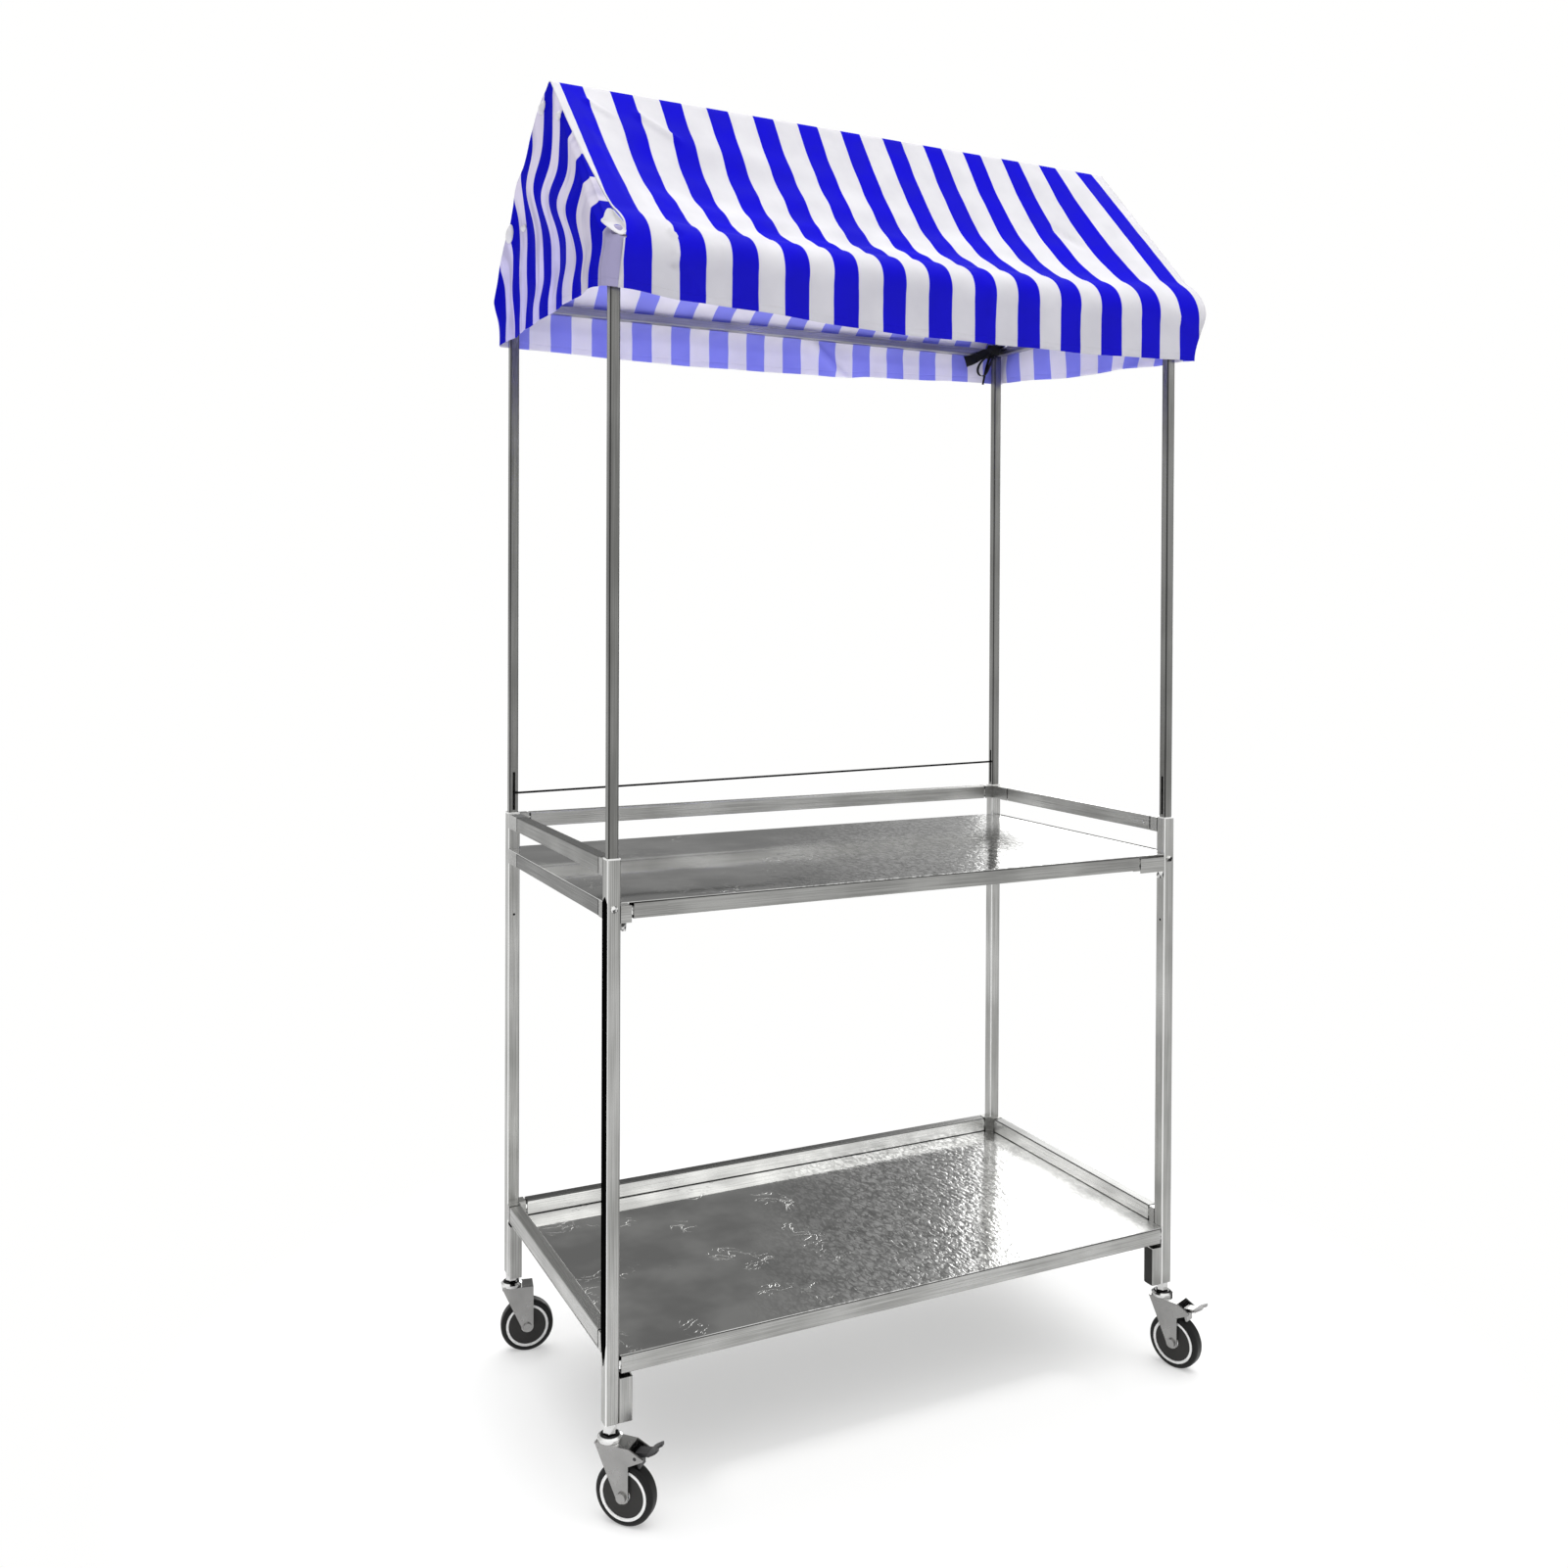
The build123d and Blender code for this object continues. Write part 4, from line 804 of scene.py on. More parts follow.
WAIST_PINCH = 0.30
WAIST_X = 0.15
WAIST_REACH = 0.22
KNOT_FOLD = 0.10
KNOT_FOLD_X = 5.0
KNOT_FOLD_Z = 7.0
KNOT_FOLD_FADE = 0.5


def ribbon(name, points, halves, lean):
    """A flat ribbon along a line, with its half width at both ends and the way its width lies."""
    line = (points[0], *points, points[-1])
    wide = Vector(lean).normalized()
    bm = bmesh.new()
    bmesh.ops.create_grid(bm, x_segments=4, y_segments=40, size=0.5)
    for vert in bm.verts:
        aside = 2.0 * vert.co.x
        share = vert.co.y + 0.5
        curl = RIBBON_CURL * (1.0 - aside ** 2)
        vert.co = flow(line, share) + wide * aside * mix(*halves, share) - Vector((0.0, curl, 0.0))
    piece = mesh_piece(name, bm, [RIBBON])
    thicken(piece, RIBBON_T, offset=0.0)
    return piece


def make_tie_wrap():
    """The turn of ribbon round the back eave rail."""
    bm = bmesh.new()
    bmesh.ops.create_cube(bm, size=1.0)
    ends = [face for face in bm.faces if abs(face.normal.x) > 0.5]
    bmesh.ops.delete(bm, geom=ends, context="FACES")
    side = 2 * (POST_HALF + WRAP_GAP)
    bmesh.ops.scale(bm, vec=(WRAP_WIDTH, side, side), verts=bm.verts)
    bmesh.ops.translate(bm, vec=(WRAP_X, LEG_Y, EAVE_Z), verts=bm.verts)
    long_edges = [e for e in bm.edges if abs((e.verts[0].co - e.verts[1].co).x) > WRAP_WIDTH / 2]
    bmesh.ops.bevel(
        bm, geom=long_edges, offset=WRAP_ROUND, segments=4, profile=0.5, affect="EDGES", material=-1
    )
    wrap = mesh_piece("tie_wrap", bm, [RIBBON])
    thicken(wrap, RIBBON_T, offset=1.0)
    return wrap


def make_tie_knot():
    """The knot: a rounded lump with a pinched waist and pulled folds."""
    bm = bmesh.new()
    bmesh.ops.create_cube(bm, size=2.0)
    bmesh.ops.subdivide_edges(bm, edges=bm.edges, cuts=11, use_grid_fill=True)
    for vert in bm.verts:
        spot = vert.co.copy()
        ball = spot.normalized() * max(abs(spot.x), abs(spot.y), abs(spot.z))
        shape = spot.lerp(ball, KNOT_ROUND)
        waist = 1.0 - WAIST_PINCH * bell(spot.x - WAIST_X, WAIST_REACH)
        wave = sin(KNOT_FOLD_Z * spot.z + KNOT_FOLD_X * spot.x)
        fold = 1.0 + KNOT_FOLD * wave * (1.0 - abs(spot.y) * KNOT_FOLD_FADE)
        swell = (1.0, fold, waist * fold)
        vert.co = Vector(m + h * s * k for m, h, s, k in zip(KNOT_MID, KNOT_HALF, shape, swell))
    return mesh_piece("tie_knot", bm, [RIBBON])


tie_tail = ribbon("tie_tail", TAIL_POINTS, halves=(0.0060, 0.0115), lean=(-0.27, 0.10, 0.96))
tie_loop = ribbon("tie_loop", LOOP_POINTS, halves=(0.0050, 0.0050), lean=(0.85, 0.50, 0.10))
tie_end = ribbon("tie_end", END_POINTS, halves=(0.0040, 0.0025), lean=(0.95, 0.30, 0.0))
tie_wrap = make_tie_wrap()
tie_knot = make_tie_knot()
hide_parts("canopy_tie")

# Ends of the cloth cover, its twist on the frame and the pull at its corners
CLOTH_T = 0.0011
ROOF_LEFT = -0.506
ROOF_RIGHT = 0.544
TWIST_LEFT = -0.0102
TWIST_BACK = -0.0157
CORNER_PULL = 0.0195
CORNER_PULL_POWER = 2.5
FRONT_LEFT_EDGE = -0.4815
FRONT_LEFT_LEAN = 0.115
FRONT_LEFT_TUCK = 0.006
FRONT_RIGHT_OUT = 0.0105
BACK_RIGHT_IN = 0.027
BACK_HEM_IN = 0.0130
BACK_HEM_SPAN_Y = (0.20, 0.26)
BACK_HEM_SPAN_Z = (EAVE_Z + 0.004, EAVE_Z - 0.016)
HEM_RIGHT_IN = 0.026

# Section of the cover as (y, z): valance, bulge over the eave, hanging slope and ridge
VALANCE_Y = 0.271
VALANCE_LOW = (VALANCE_Y, 1.742)
EAVE_BULGE = (0.2795, 1.790)
EAVE_END = (0.254, 1.792)
EAVE_PART = 0.12
RIDGE_TOP = 2.0694
RIDGE_END = (0.0065, 2.066)
RIDGE_BEND = (0.0032, RIDGE_TOP)
FRONT_HEM = ((-0.50, 1.7025), (-0.402, 1.693), (-0.024, 1.678), (0.299, 1.678), (0.55, 1.684))
BACK_HEM = ((-0.522, 1.708), (-0.170, 1.703), (0.172, 1.7065), (0.230, 1.712), (0.514, 1.720))

# Shares of the grid and lengths of cloth along the section
VALANCE_SHARE = 0.15
EAVE_SHARE = 0.35
SLOPE_SHARE = 0.972
EAVE_LENGTH = 0.083
SLOPE_LENGTH = 0.33
LEFT_DENSITY = 0.55

# Sag between the end rafters
SAG = 0.050
SAG_LEFT = -0.474
SAG_RIGHT = 0.470
SAG_POWER = 5

# Ripples of the slopes, calmer on the right, and waves of the valances
SLOPE_SPAN = (EAVE_SHARE - 0.05, EAVE_SHARE + 0.12)
RIDGE_SPAN = (0.97, 0.80)
CALM_SPAN_X = (-0.2, 0.3)
CALM = 0.5
RIPPLE = 0.008
RIPPLE_X = 3.0
RIPPLE_UP = 9.0
SWAY = 0.004
SWAY_X = 8.0
SWAY_UP = 5.0
SWAY_SEED = 5.0
WAVE = 0.0020
WAVE_LENGTH = 0.163
WAVE_SHIFT = 1.1
WAVE_UNEVEN = 0.8
WAVE_UNEVEN_X = 11.0
WAVE_SEED = 2.0

# Dimples in the front of the cover: push, place as (x, z) and reach
FRONT_DIMPLES = (
    (-0.0050, (-0.4290, 1.7430), 0.0075),
    (0.0035, (-0.4270, 1.7560), 0.0060),
)

# Creases in the front and in the back of the cover: push, both ends as (x, z) and width
FRONT_CREASES = (
    (0.0040, (-0.440, 1.795), (-0.428, 1.781), 0.0045),
    (-0.0030, (-0.432, 1.797), (-0.421, 1.783), 0.0045),
    (0.0022, (-0.410, 1.735), (-0.372, 1.700), 0.006),
    (0.0030, (0.098, 1.772), (0.118, 1.720), 0.007),
    (0.0030, (0.470, 1.770), (0.512, 1.735), 0.006),
    (0.0030, (-0.462, 2.040), (-0.420, 2.012), 0.005),
    (0.0040, (-0.378, 2.030), (-0.318, 1.985), 0.006),
    (-0.0030, (0.360, 1.930), (0.395, 1.890), 0.008),
)
BACK_CREASE = (-0.0060, (0.105, 1.764), (0.180, 1.700), 0.009)
CREASE_START = (-0.15, 0.15)
CREASE_FINISH = (1.15, 0.85)
MARK_GAIN = 1.4
PUSH_OUT = 0.74
PUSH_UP = 0.67

# The cloth's back left edge stands off its rafter: height above it by distance from the ridge
BACK_LIFT = ((0.0, 0.0), (0.050, 0.022), (0.093, 0.006), (0.140, 0.021), (0.205, 0.023), (0.252, 0.0))
BACK_LIFT_REACH = 0.25

# Stripes of the roof: shift and blue share at the ridge, pull at the front left corner, back valance
RIDGE_SHIFT_LEFT = 0.010
RIDGE_SHIFT_RIGHT = 0.0145
RIDGE_SHIFT_SPAN_X = (-0.5, 0.5)
RIDGE_BLUE = 0.455
EVEN_BLUE = 0.5
CORNER_STRIPE_PULL = 0.008
CORNER_STRIPE_MID = (-0.478, 1.800)
CORNER_STRIPE_REACH = 0.028
BACK_STRIPE_MID = 0.0434
BACK_STRIPE_PERIOD = 0.0743
BACK_STRIPE_INDEX = 6


def slope_spot(part, sag):
    """A point of the hanging slope, from the eave at 0 to the ridge at 1."""
    y = mix(EAVE_END[0], RIDGE_END[0], part)
    return y, mix(EAVE_END[1], RIDGE_END[1], part) - sag * sin(pi * part)


def half_section(share, hem_z, sag):
    """One half of the cover's section: (y, z, distance from the hem), hem at 0 and ridge at 1."""
    drop = VALANCE_LOW[1] - hem_z
    if share < VALANCE_SHARE:
        part = share / VALANCE_SHARE
        return VALANCE_Y, mix(hem_z, VALANCE_LOW[1], part), part * drop
    if share < EAVE_SHARE:
        part = (share - VALANCE_SHARE) / (EAVE_SHARE - VALANCE_SHARE)
        y, z = bend(VALANCE_LOW, EAVE_BULGE, slope_spot(EAVE_PART, sag), part)
        return y, z, drop + part * EAVE_LENGTH
    if share < SLOPE_SHARE:
        part = (share - EAVE_SHARE) / (SLOPE_SHARE - EAVE_SHARE)
        y, z = slope_spot(mix(EAVE_PART, 1.0, part), sag)
        return y, z, drop + EAVE_LENGTH + part * SLOPE_LENGTH
    part = (share - SLOPE_SHARE) / (1.0 - SLOPE_SHARE)
    y, z = bend(RIDGE_END, RIDGE_BEND, (0.0, RIDGE_TOP), part)
    return y, z, drop + EAVE_LENGTH + SLOPE_LENGTH + part * RIDGE_END[0]


def left_edge(y, z):
    """Where the roof's left edge lies: pulled in towards the front corner."""
    if y >= 0.0:
        drawn_in = smooth(BACK_HEM_SPAN_Y, y) * smooth(BACK_HEM_SPAN_Z, z)
        return ROOF_LEFT + TWIST_BACK * y / VALANCE_Y + BACK_HEM_IN * drawn_in
    reach = min(abs(y) / EAVE_END[0], 1.0)
    edge = ROOF_LEFT + TWIST_LEFT * y / VALANCE_Y
    edge += CORNER_PULL * reach ** CORNER_PULL_POWER
    hanging = FRONT_LEFT_EDGE - FRONT_LEFT_LEAN * (EAVE_Z - z)
    return mix(hanging, edge, smooth((EAVE_Z - FRONT_LEFT_TUCK, EAVE_END[1]), z))


def right_edge(y, z):
    """Where the roof's right edge lies: it overhangs most at the front eave."""
    reach = min(abs(y) / EAVE_END[0], 1.0)
    if y >= 0.0:
        return ROOF_RIGHT - BACK_RIGHT_IN * reach
    drawn_in = HEM_RIGHT_IN * smooth((EAVE_Z, FRONT_HEM[-1][1]), z)
    return ROOF_RIGHT + (FRONT_RIGHT_OUT - drawn_in) * reach


def sag_at(x_mid):
    """How far the slope hangs between the end rafters at this place."""
    middle = (SAG_LEFT + SAG_RIGHT) / 2
    step = abs(x_mid - middle) / ((SAG_RIGHT - SAG_LEFT) / 2)
    return SAG * max(0.0, 1.0 - step ** SAG_POWER)


def dimple_push(x, z, push, middle, reach):
    """The push of a round dimple at a point of the cover."""
    return push * bell(hypot(x - middle[0], z - middle[1]), reach)


def crease_push(x, z, push, start, end, width):
    """The push of a crease along a line from start to end, which fades at both ends."""
    run = (end[0] - start[0], end[1] - start[1])
    length = hypot(*run)
    lengthwise = ((x - start[0]) * run[0] + (z - start[1]) * run[1]) / length ** 2
    aside = ((x - start[0]) * run[1] - (z - start[1]) * run[0]) / length
    fade = smooth(CREASE_START, lengthwise) * smooth(CREASE_FINISH, lengthwise)
    return push * fade * bell(aside, width)


def front_marks(x, z):
    """Outward push of the dimples and creases in the front of the cover."""
    dimples = sum(dimple_push(x, z, *dimple) for dimple in FRONT_DIMPLES)
    creases = sum(crease_push(x, z, *crease) for crease in FRONT_CREASES)
    return MARK_GAIN * (dimples + creases)


def roof_spot(across, down):
    """A point of the roof: across from 0 left to 1 right, down from 0 front hem to 1 back hem."""
    dense = across * (LEFT_DENSITY + (1.0 - LEFT_DENSITY) * across)
    x_mid = mix(ROOF_LEFT, ROOF_RIGHT, dense)
    side = -1.0 if down < 0.5 else 1.0
    share = 1.0 - abs(2.0 * down - 1.0)
    hem_z = along(FRONT_HEM if side < 0 else BACK_HEM, x_mid)
    y, z, from_hem = half_section(share, hem_z, sag_at(x_mid))
    if side > 0:
        z += along(BACK_LIFT, y) * smooth((ROOF_LEFT + BACK_LIFT_REACH, ROOF_LEFT), x_mid)
    loose = smooth(SLOPE_SPAN, share) * smooth(RIDGE_SPAN, share) * sag_at(x_mid) / SAG
    loose *= 1.0 - CALM * smooth(CALM_SPAN_X, x_mid)
    ripple = RIPPLE * uneven(x_mid * RIPPLE_X, share * RIPPLE_UP, side)
    sway = SWAY * uneven(x_mid * SWAY_X, share * SWAY_UP, SWAY_SEED + side)
    push = loose * (ripple + sway)
    wave = sin(x_mid * 2 * pi / WAVE_LENGTH + WAVE_SHIFT * side)
    wave += WAVE_UNEVEN * uneven(x_mid * WAVE_UNEVEN_X, side, WAVE_SEED)
    y += WAVE * wave * smooth((EAVE_SHARE, 0.0), share)
    if side < 0:
        push += front_marks(x_mid, z)
    else:
        y += crease_push(x_mid, z, *BACK_CREASE)
    y += push * PUSH_OUT
    z += push * PUSH_UP * smooth((VALANCE_SHARE, EAVE_SHARE), share)
    x = mix(left_edge(side * y, z), right_edge(side * y, z), dense)
    return Vector((x, side * y, z)), from_hem


def blue_to(place, share):
    """A place across the stripes, shifted so that the blue takes this share of each period."""
    count = (place - STRIPE_START) / STRIPE_PERIOD
    whole = floor(count)
    part = count - whole
    if part < share:
        part = EVEN_BLUE * part / share
    else:
        part = EVEN_BLUE + (1.0 - EVEN_BLUE) * (part - share) / (1.0 - share)
    return STRIPE_START + STRIPE_PERIOD * (whole + part)


def stripe_place(count):
    """The place across the stripes of the middle of a blue one, counted from the first."""
    return STRIPE_START + STRIPE_PERIOD * (STRIPE_MIDDLE + count)


def roof_stripe(x, y, z):
    """Where a point lies across the stripes of the roof."""
    to_ridge = 1.0 - min(abs(y) / VALANCE_Y, 1.0)
    front = x + to_ridge * mix(RIDGE_SHIFT_LEFT, RIDGE_SHIFT_RIGHT, smooth(RIDGE_SHIFT_SPAN_X, x))
    if y < 0:
        front -= dimple_push(x, z, CORNER_STRIPE_PULL, CORNER_STRIPE_MID, CORNER_STRIPE_REACH)
    back = stripe_place((x - BACK_STRIPE_MID) / BACK_STRIPE_PERIOD + BACK_STRIPE_INDEX)
    return blue_to(mix(front, back, smooth((0.0, VALANCE_Y), y)), mix(EVEN_BLUE, RIDGE_BLUE, to_ridge))


def cloth_piece(name, across, down, spot, stripe, outside=CLOTH_OUT):
    """A grid of cloth carried to its place, with a map of stripe place and distance from the hem."""
    bm = bmesh.new()
    bmesh.ops.create_grid(bm, x_segments=across, y_segments=down, size=0.5)
    uv = bm.loops.layers.uv.new("cloth")
    for vert in bm.verts:
        vert.co, from_hem = spot(vert.co.x + 0.5, vert.co.y + 0.5)
        for loop in vert.link_loops:
            loop[uv].uv = (stripe(*vert.co), from_hem)
    piece = mesh_piece(name, bm, [outside, CLOTH_IN])
    wall = thicken(piece, CLOTH_T, offset=-1.0)
    wall.material_offset = 1
    wall.use_even_offset = False
    return piece


roof = cloth_piece("canopy_roof_cloth", across=220, down=180, spot=roof_spot, stripe=roof_stripe)
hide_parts("canopy_roof")

# Both gables: drop of the roof's edge past the eave, and how far in from the valance they end
EAVE_DROP = 0.004
GABLE_IN = 0.001

# Loose left gable: its plane, hem and stripes, a tuck over the rafter and a turn at the front corner
LEFT_GABLE_X = -0.5035
RAFTER_OUT = -0.4995
LEFT_HEM = ((-0.27, 1.7030), (-0.22, 1.7090), (0.27, 1.7080))
LEFT_STRIPE_MID = 0.0015
LEFT_STRIPE_PERIOD = 0.079
LEFT_TOP_GAP = 0.0008
LEFT_FREE_SPAN = (0.0, 0.013)
TUCK_SHARE = 0.07
GABLE_FRONT = -0.2665
TURN_SHARE = 0.10
TURN_X_IN = 0.004
TURN_Y_IN = 0.0015
TURN_SPAN = (0.0, 0.3)

# How the left gable stands off: a slanting fold, a flared foot, pleats, a loose back and crumples
STAND_OFF = 0.0035
FOLD_MID = 1.897
FOLD_LEAN = 0.43
FOLD_OUT = 0.0165
FOLD_WIDTH_FRONT = 0.036
FOLD_WIDTH_BACK = 0.050
FOLD_WIDTH_SPAN_Y = (-0.08, 0.05)
FOLD_FRONT_SPAN_Y = (-0.275, -0.12)
FOLD_BACK_SPAN_Y = (0.04, 0.13)
FOLD_BACK_SHARE = 0.38
FOOT_OUT = 0.0060
FOOT_SPAN_Z = (1.775, 1.725)
FOOT_SPAN_Y = (0.20, 0.02)
PLEAT_OUT = 0.0013
PLEAT_LENGTH = 0.109
PLEAT_SHIFT = 0.7
PLEAT_SPAN_Z = (1.85, 1.72)
BACK_OFF = 0.034
BACK_LOW_SHARE = 0.7
BACK_LOW_SPAN_Z = (1.80, 1.74)
BACK_END_SPAN_Y = (0.280, 0.258)
PUFF_OUT = (
    (0.02, 0.0), (0.060, 0.0050), (0.093, 0.0020), (0.130, 0.0050), (0.205, 0.0085), (0.262, 0.0105),
)
PUFF_END_SPAN_Y = (0.274, 0.250)
PUFF_BELOW = 0.014
PUFF_REACH = 0.024

# Crumples of the left gable: push, scale along y and along z, seed
CRUMPLES = ((0.0025, 14.0, 9.0, 3.0), (0.0022, 34.0, 16.0, 7.0))

# Right gable: hem and stripes, folds and pleats, and the gap under the roof's edge
RIGHT_HEM = ((-0.27, 1.684), (0.0, 1.703), (0.27, 1.720))
RIGHT_STRIPE_MID = -0.0280
RIGHT_STRIPE_PERIOD = 0.084
RIGHT_TOP_GAP = 0.0030
RIGHT_GABLE_GAP = 0.004
RIGHT_EDGE_GAP = 0.003
RIGHT_EDGE_SPAN = (0.0, 0.007)
RIGHT_OUT = 0.003
RIGHT_FOLD_LENGTH = 0.16
RIGHT_FOLD_LEAN = 5.0
RIGHT_FOLD_SPAN = (0.010, 0.060)
RIGHT_PLEAT_LENGTH = 0.134
RIGHT_UNEVEN_Y = 8.0
RIGHT_UNEVEN_Z = 4.0
RIGHT_SEED = 9.0
RIGHT_END_SPAN_Y = (0.255, VALANCE_Y)


def gable_top(y):
    """Height of the roof's edge above a point of the gable."""
    reach = abs(y)
    if reach <= RIDGE_END[0]:
        return mix(RIDGE_TOP, RIDGE_END[1], reach / RIDGE_END[0])
    if reach <= EAVE_END[0]:
        return slope_spot((EAVE_END[0] - reach) / (EAVE_END[0] - RIDGE_END[0]), 0.0)[1]
    return mix(EAVE_END[1], EAVE_Z - EAVE_DROP, smooth((EAVE_END[0], VALANCE_Y), reach))


def left_top(y):
    """Height of the roof's left edge above a point of the loose gable."""
    return gable_top(y) + along(BACK_LIFT, y)


def left_stand_off(y, z):
    """How far the loose gable cloth stands off its plane."""
    width = mix(FOLD_WIDTH_FRONT, FOLD_WIDTH_BACK, smooth(FOLD_WIDTH_SPAN_Y, y))
    fold = FOLD_OUT * smooth(FOLD_FRONT_SPAN_Y, y) * bell(z - FOLD_MID - FOLD_LEAN * y, width)
    fold *= mix(1.0, FOLD_BACK_SHARE, smooth(FOLD_BACK_SPAN_Y, y))
    foot = FOOT_OUT * smooth(FOOT_SPAN_Z, z) * smooth(FOOT_SPAN_Y, y)
    pleat = PLEAT_OUT * sin(2 * pi * y / PLEAT_LENGTH + PLEAT_SHIFT) * smooth(PLEAT_SPAN_Z, z)
    back = BACK_OFF * max(y, 0.0) * mix(1.0, BACK_LOW_SHARE, smooth(BACK_LOW_SPAN_Z, z))
    back *= smooth(BACK_END_SPAN_Y, y)
    puff = along(PUFF_OUT, y) * smooth(PUFF_END_SPAN_Y, y)
    puff *= bell(left_top(y) - z - PUFF_BELOW, PUFF_REACH)
    crumple = 0.0
    for push, y_scale, z_scale, seed in CRUMPLES:
        crumple += push * uneven(y * y_scale, z * z_scale, seed)
    return STAND_OFF + fold + foot + pleat + back + puff + crumple


def left_gable_spot(across, down):
    """A point of the left gable: across from 0 back to 1 at the front turn, down from 0 hem to 1 top."""
    face = min(across / (1.0 - TURN_SHARE), 1.0)
    turned = max(across - 1.0 + TURN_SHARE, 0.0) / TURN_SHARE
    lowered = min(down / (1.0 - TUCK_SHARE), 1.0)
    tucked = max(down - 1.0 + TUCK_SHARE, 0.0) / TUCK_SHARE
    y = mix(VALANCE_Y - GABLE_IN, GABLE_FRONT, face)
    top = left_top(y) - LEFT_TOP_GAP
    hem = along(LEFT_HEM, y)
    z = mix(hem, top, lowered)
    edge = left_edge(y, gable_top(y))
    free = smooth(LEFT_FREE_SPAN, top - z)
    x = mix(min(edge, RAFTER_OUT), LEFT_GABLE_X - left_stand_off(y, z), free)
    x = mix(x, edge, tucked)
    if turned > 0.0:
        x = mix(x, left_edge(-VALANCE_Y, z) + TURN_X_IN, turned)
        y = mix(GABLE_FRONT, -VALANCE_Y + TURN_Y_IN, smooth(TURN_SPAN, turned))
    return Vector((x, y, z)), z - hem


def left_stripe(x, y, z):
    """Where a point of the left gable lies across the stripes."""
    return stripe_place((y - LEFT_STRIPE_MID) / LEFT_STRIPE_PERIOD)


def right_gable_spot(across, down):
    """A point of the right gable: across from 0 front to 1 back, down from 0 hem to 1 roof edge."""
    y = mix(-VALANCE_Y + GABLE_IN, VALANCE_Y - GABLE_IN, across)
    top = gable_top(y) - RIGHT_TOP_GAP
    hem = along(RIGHT_HEM, y)
    z = mix(hem, top, down)
    below = top - z
    fold = RIGHT_OUT * (1.0 + sin(2 * pi * z / RIGHT_FOLD_LENGTH + RIGHT_FOLD_LEAN * y))
    bumps = uneven(y * RIGHT_UNEVEN_Y, z * RIGHT_UNEVEN_Z, RIGHT_SEED)
    pleat = RIGHT_OUT * (1.0 + sin(2 * pi * y / RIGHT_PLEAT_LENGTH) + bumps)
    low = smooth((EAVE_Z, hem), z)
    back = RIGHT_GABLE_GAP + smooth(RIGHT_FOLD_SPAN, below) * fold + (1.0 + low) / 2 * pleat
    back = mix(back, RIGHT_GABLE_GAP, smooth(RIGHT_END_SPAN_Y, abs(y)))
    x = right_edge(y, z) - mix(RIGHT_EDGE_GAP, back, smooth(RIGHT_EDGE_SPAN, below))
    return Vector((x, y, z)), z - hem


def right_stripe(x, y, z):
    """Where a point of the right gable lies across the stripes."""
    return stripe_place((y - RIGHT_STRIPE_MID) / RIGHT_STRIPE_PERIOD)


left_gable = cloth_piece(
    "canopy_gable_left_cloth", across=170, down=110, spot=left_gable_spot, stripe=left_stripe,
    outside=CLOTH_SIDE,
)
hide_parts("canopy_gable_left")
right_gable = cloth_piece(
    "canopy_gable_right_cloth", across=120, down=80, spot=right_gable_spot, stripe=right_stripe
)
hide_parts("canopy_gable_right")

# Loose pouch of cloth at the front left corner: its rim from the left tip along the lip and round
POUCH_RIM = (
    (-0.5145, -0.2660, 1.7920), (-0.5050, -0.2690, 1.7840), (-0.4945, -0.2705, 1.7775),
    (-0.4855, -0.2705, 1.7745), (-0.4790, -0.2690, 1.7775), (-0.4755, -0.2640, 1.7855),
    (-0.4790, -0.2560, 1.7975), (-0.4850, -0.2480, 1.8080), (-0.4905, -0.2470, 1.8150),
    (-0.4985, -0.2520, 1.8140), (-0.5040, -0.2575, 1.8060), (-0.5075, -0.2620, 1.7960),
)
POUCH_MID = Vector((-0.4915, -0.2615, 1.7945))
POUCH_FACE = Vector((-0.32, -0.92, -0.22)).normalized()
POUCH_DEPTH = 0.012
POUCH_POWER = 2.2

# Small white tabs that pucker the left gable: place on the cloth, half width, half height and lean
GABLE_TABS = (
    (0.176, 1.876, 0.011, 0.014, 0.5), (0.112, 1.871, 0.012, 0.0055, 0.0),
    (0.025, 2.036, 0.009, 0.0105, 0.3), (-0.056, 1.999, 0.007, 0.007, 0.0),
)
TAB_DOME = 0.0055
TAB_GAP = 0.0008

# A distance from the hem that shows no stitching
NO_HEM = 0.05


def white_only(x, y, z):
    """The middle of a white stripe."""
    return STRIPE_START - STRIPE_PERIOD / 4


def pouch_spot(across, down):
    """A point of the pouch: across turns round the rim, down goes from the rim to the middle."""
    rim = flow(POUCH_RIM + POUCH_RIM[:2], across)
    reach = 1.0 - down
    hollow = 1.0 - reach ** POUCH_POWER
    return mix(POUCH_MID, rim, reach) - POUCH_FACE * POUCH_DEPTH * hollow, NO_HEM


def make_tab(index, y_mid, z_mid, half_y, half_z, lean):
    """A small domed pucker of white cloth on the left gable."""
    def spot(across, down):
        angle = 2 * pi * across
        rise = half_z * down * sin(angle)
        y = y_mid + half_y * down * cos(angle) - lean * rise
        z = z_mid + rise
        x = LEFT_GABLE_X - left_stand_off(y, z) - TAB_GAP - TAB_DOME * (1.0 - down * down)
        return Vector((x, y, z)), NO_HEM

    return cloth_piece(f"gable_tab_{index}", across=24, down=6, spot=spot, stripe=white_only)


pouch = cloth_piece("corner_pouch", across=60, down=16, spot=pouch_spot, stripe=white_only)
tabs = [make_tab(index, *tab) for index, tab in enumerate(GABLE_TABS, 1)]

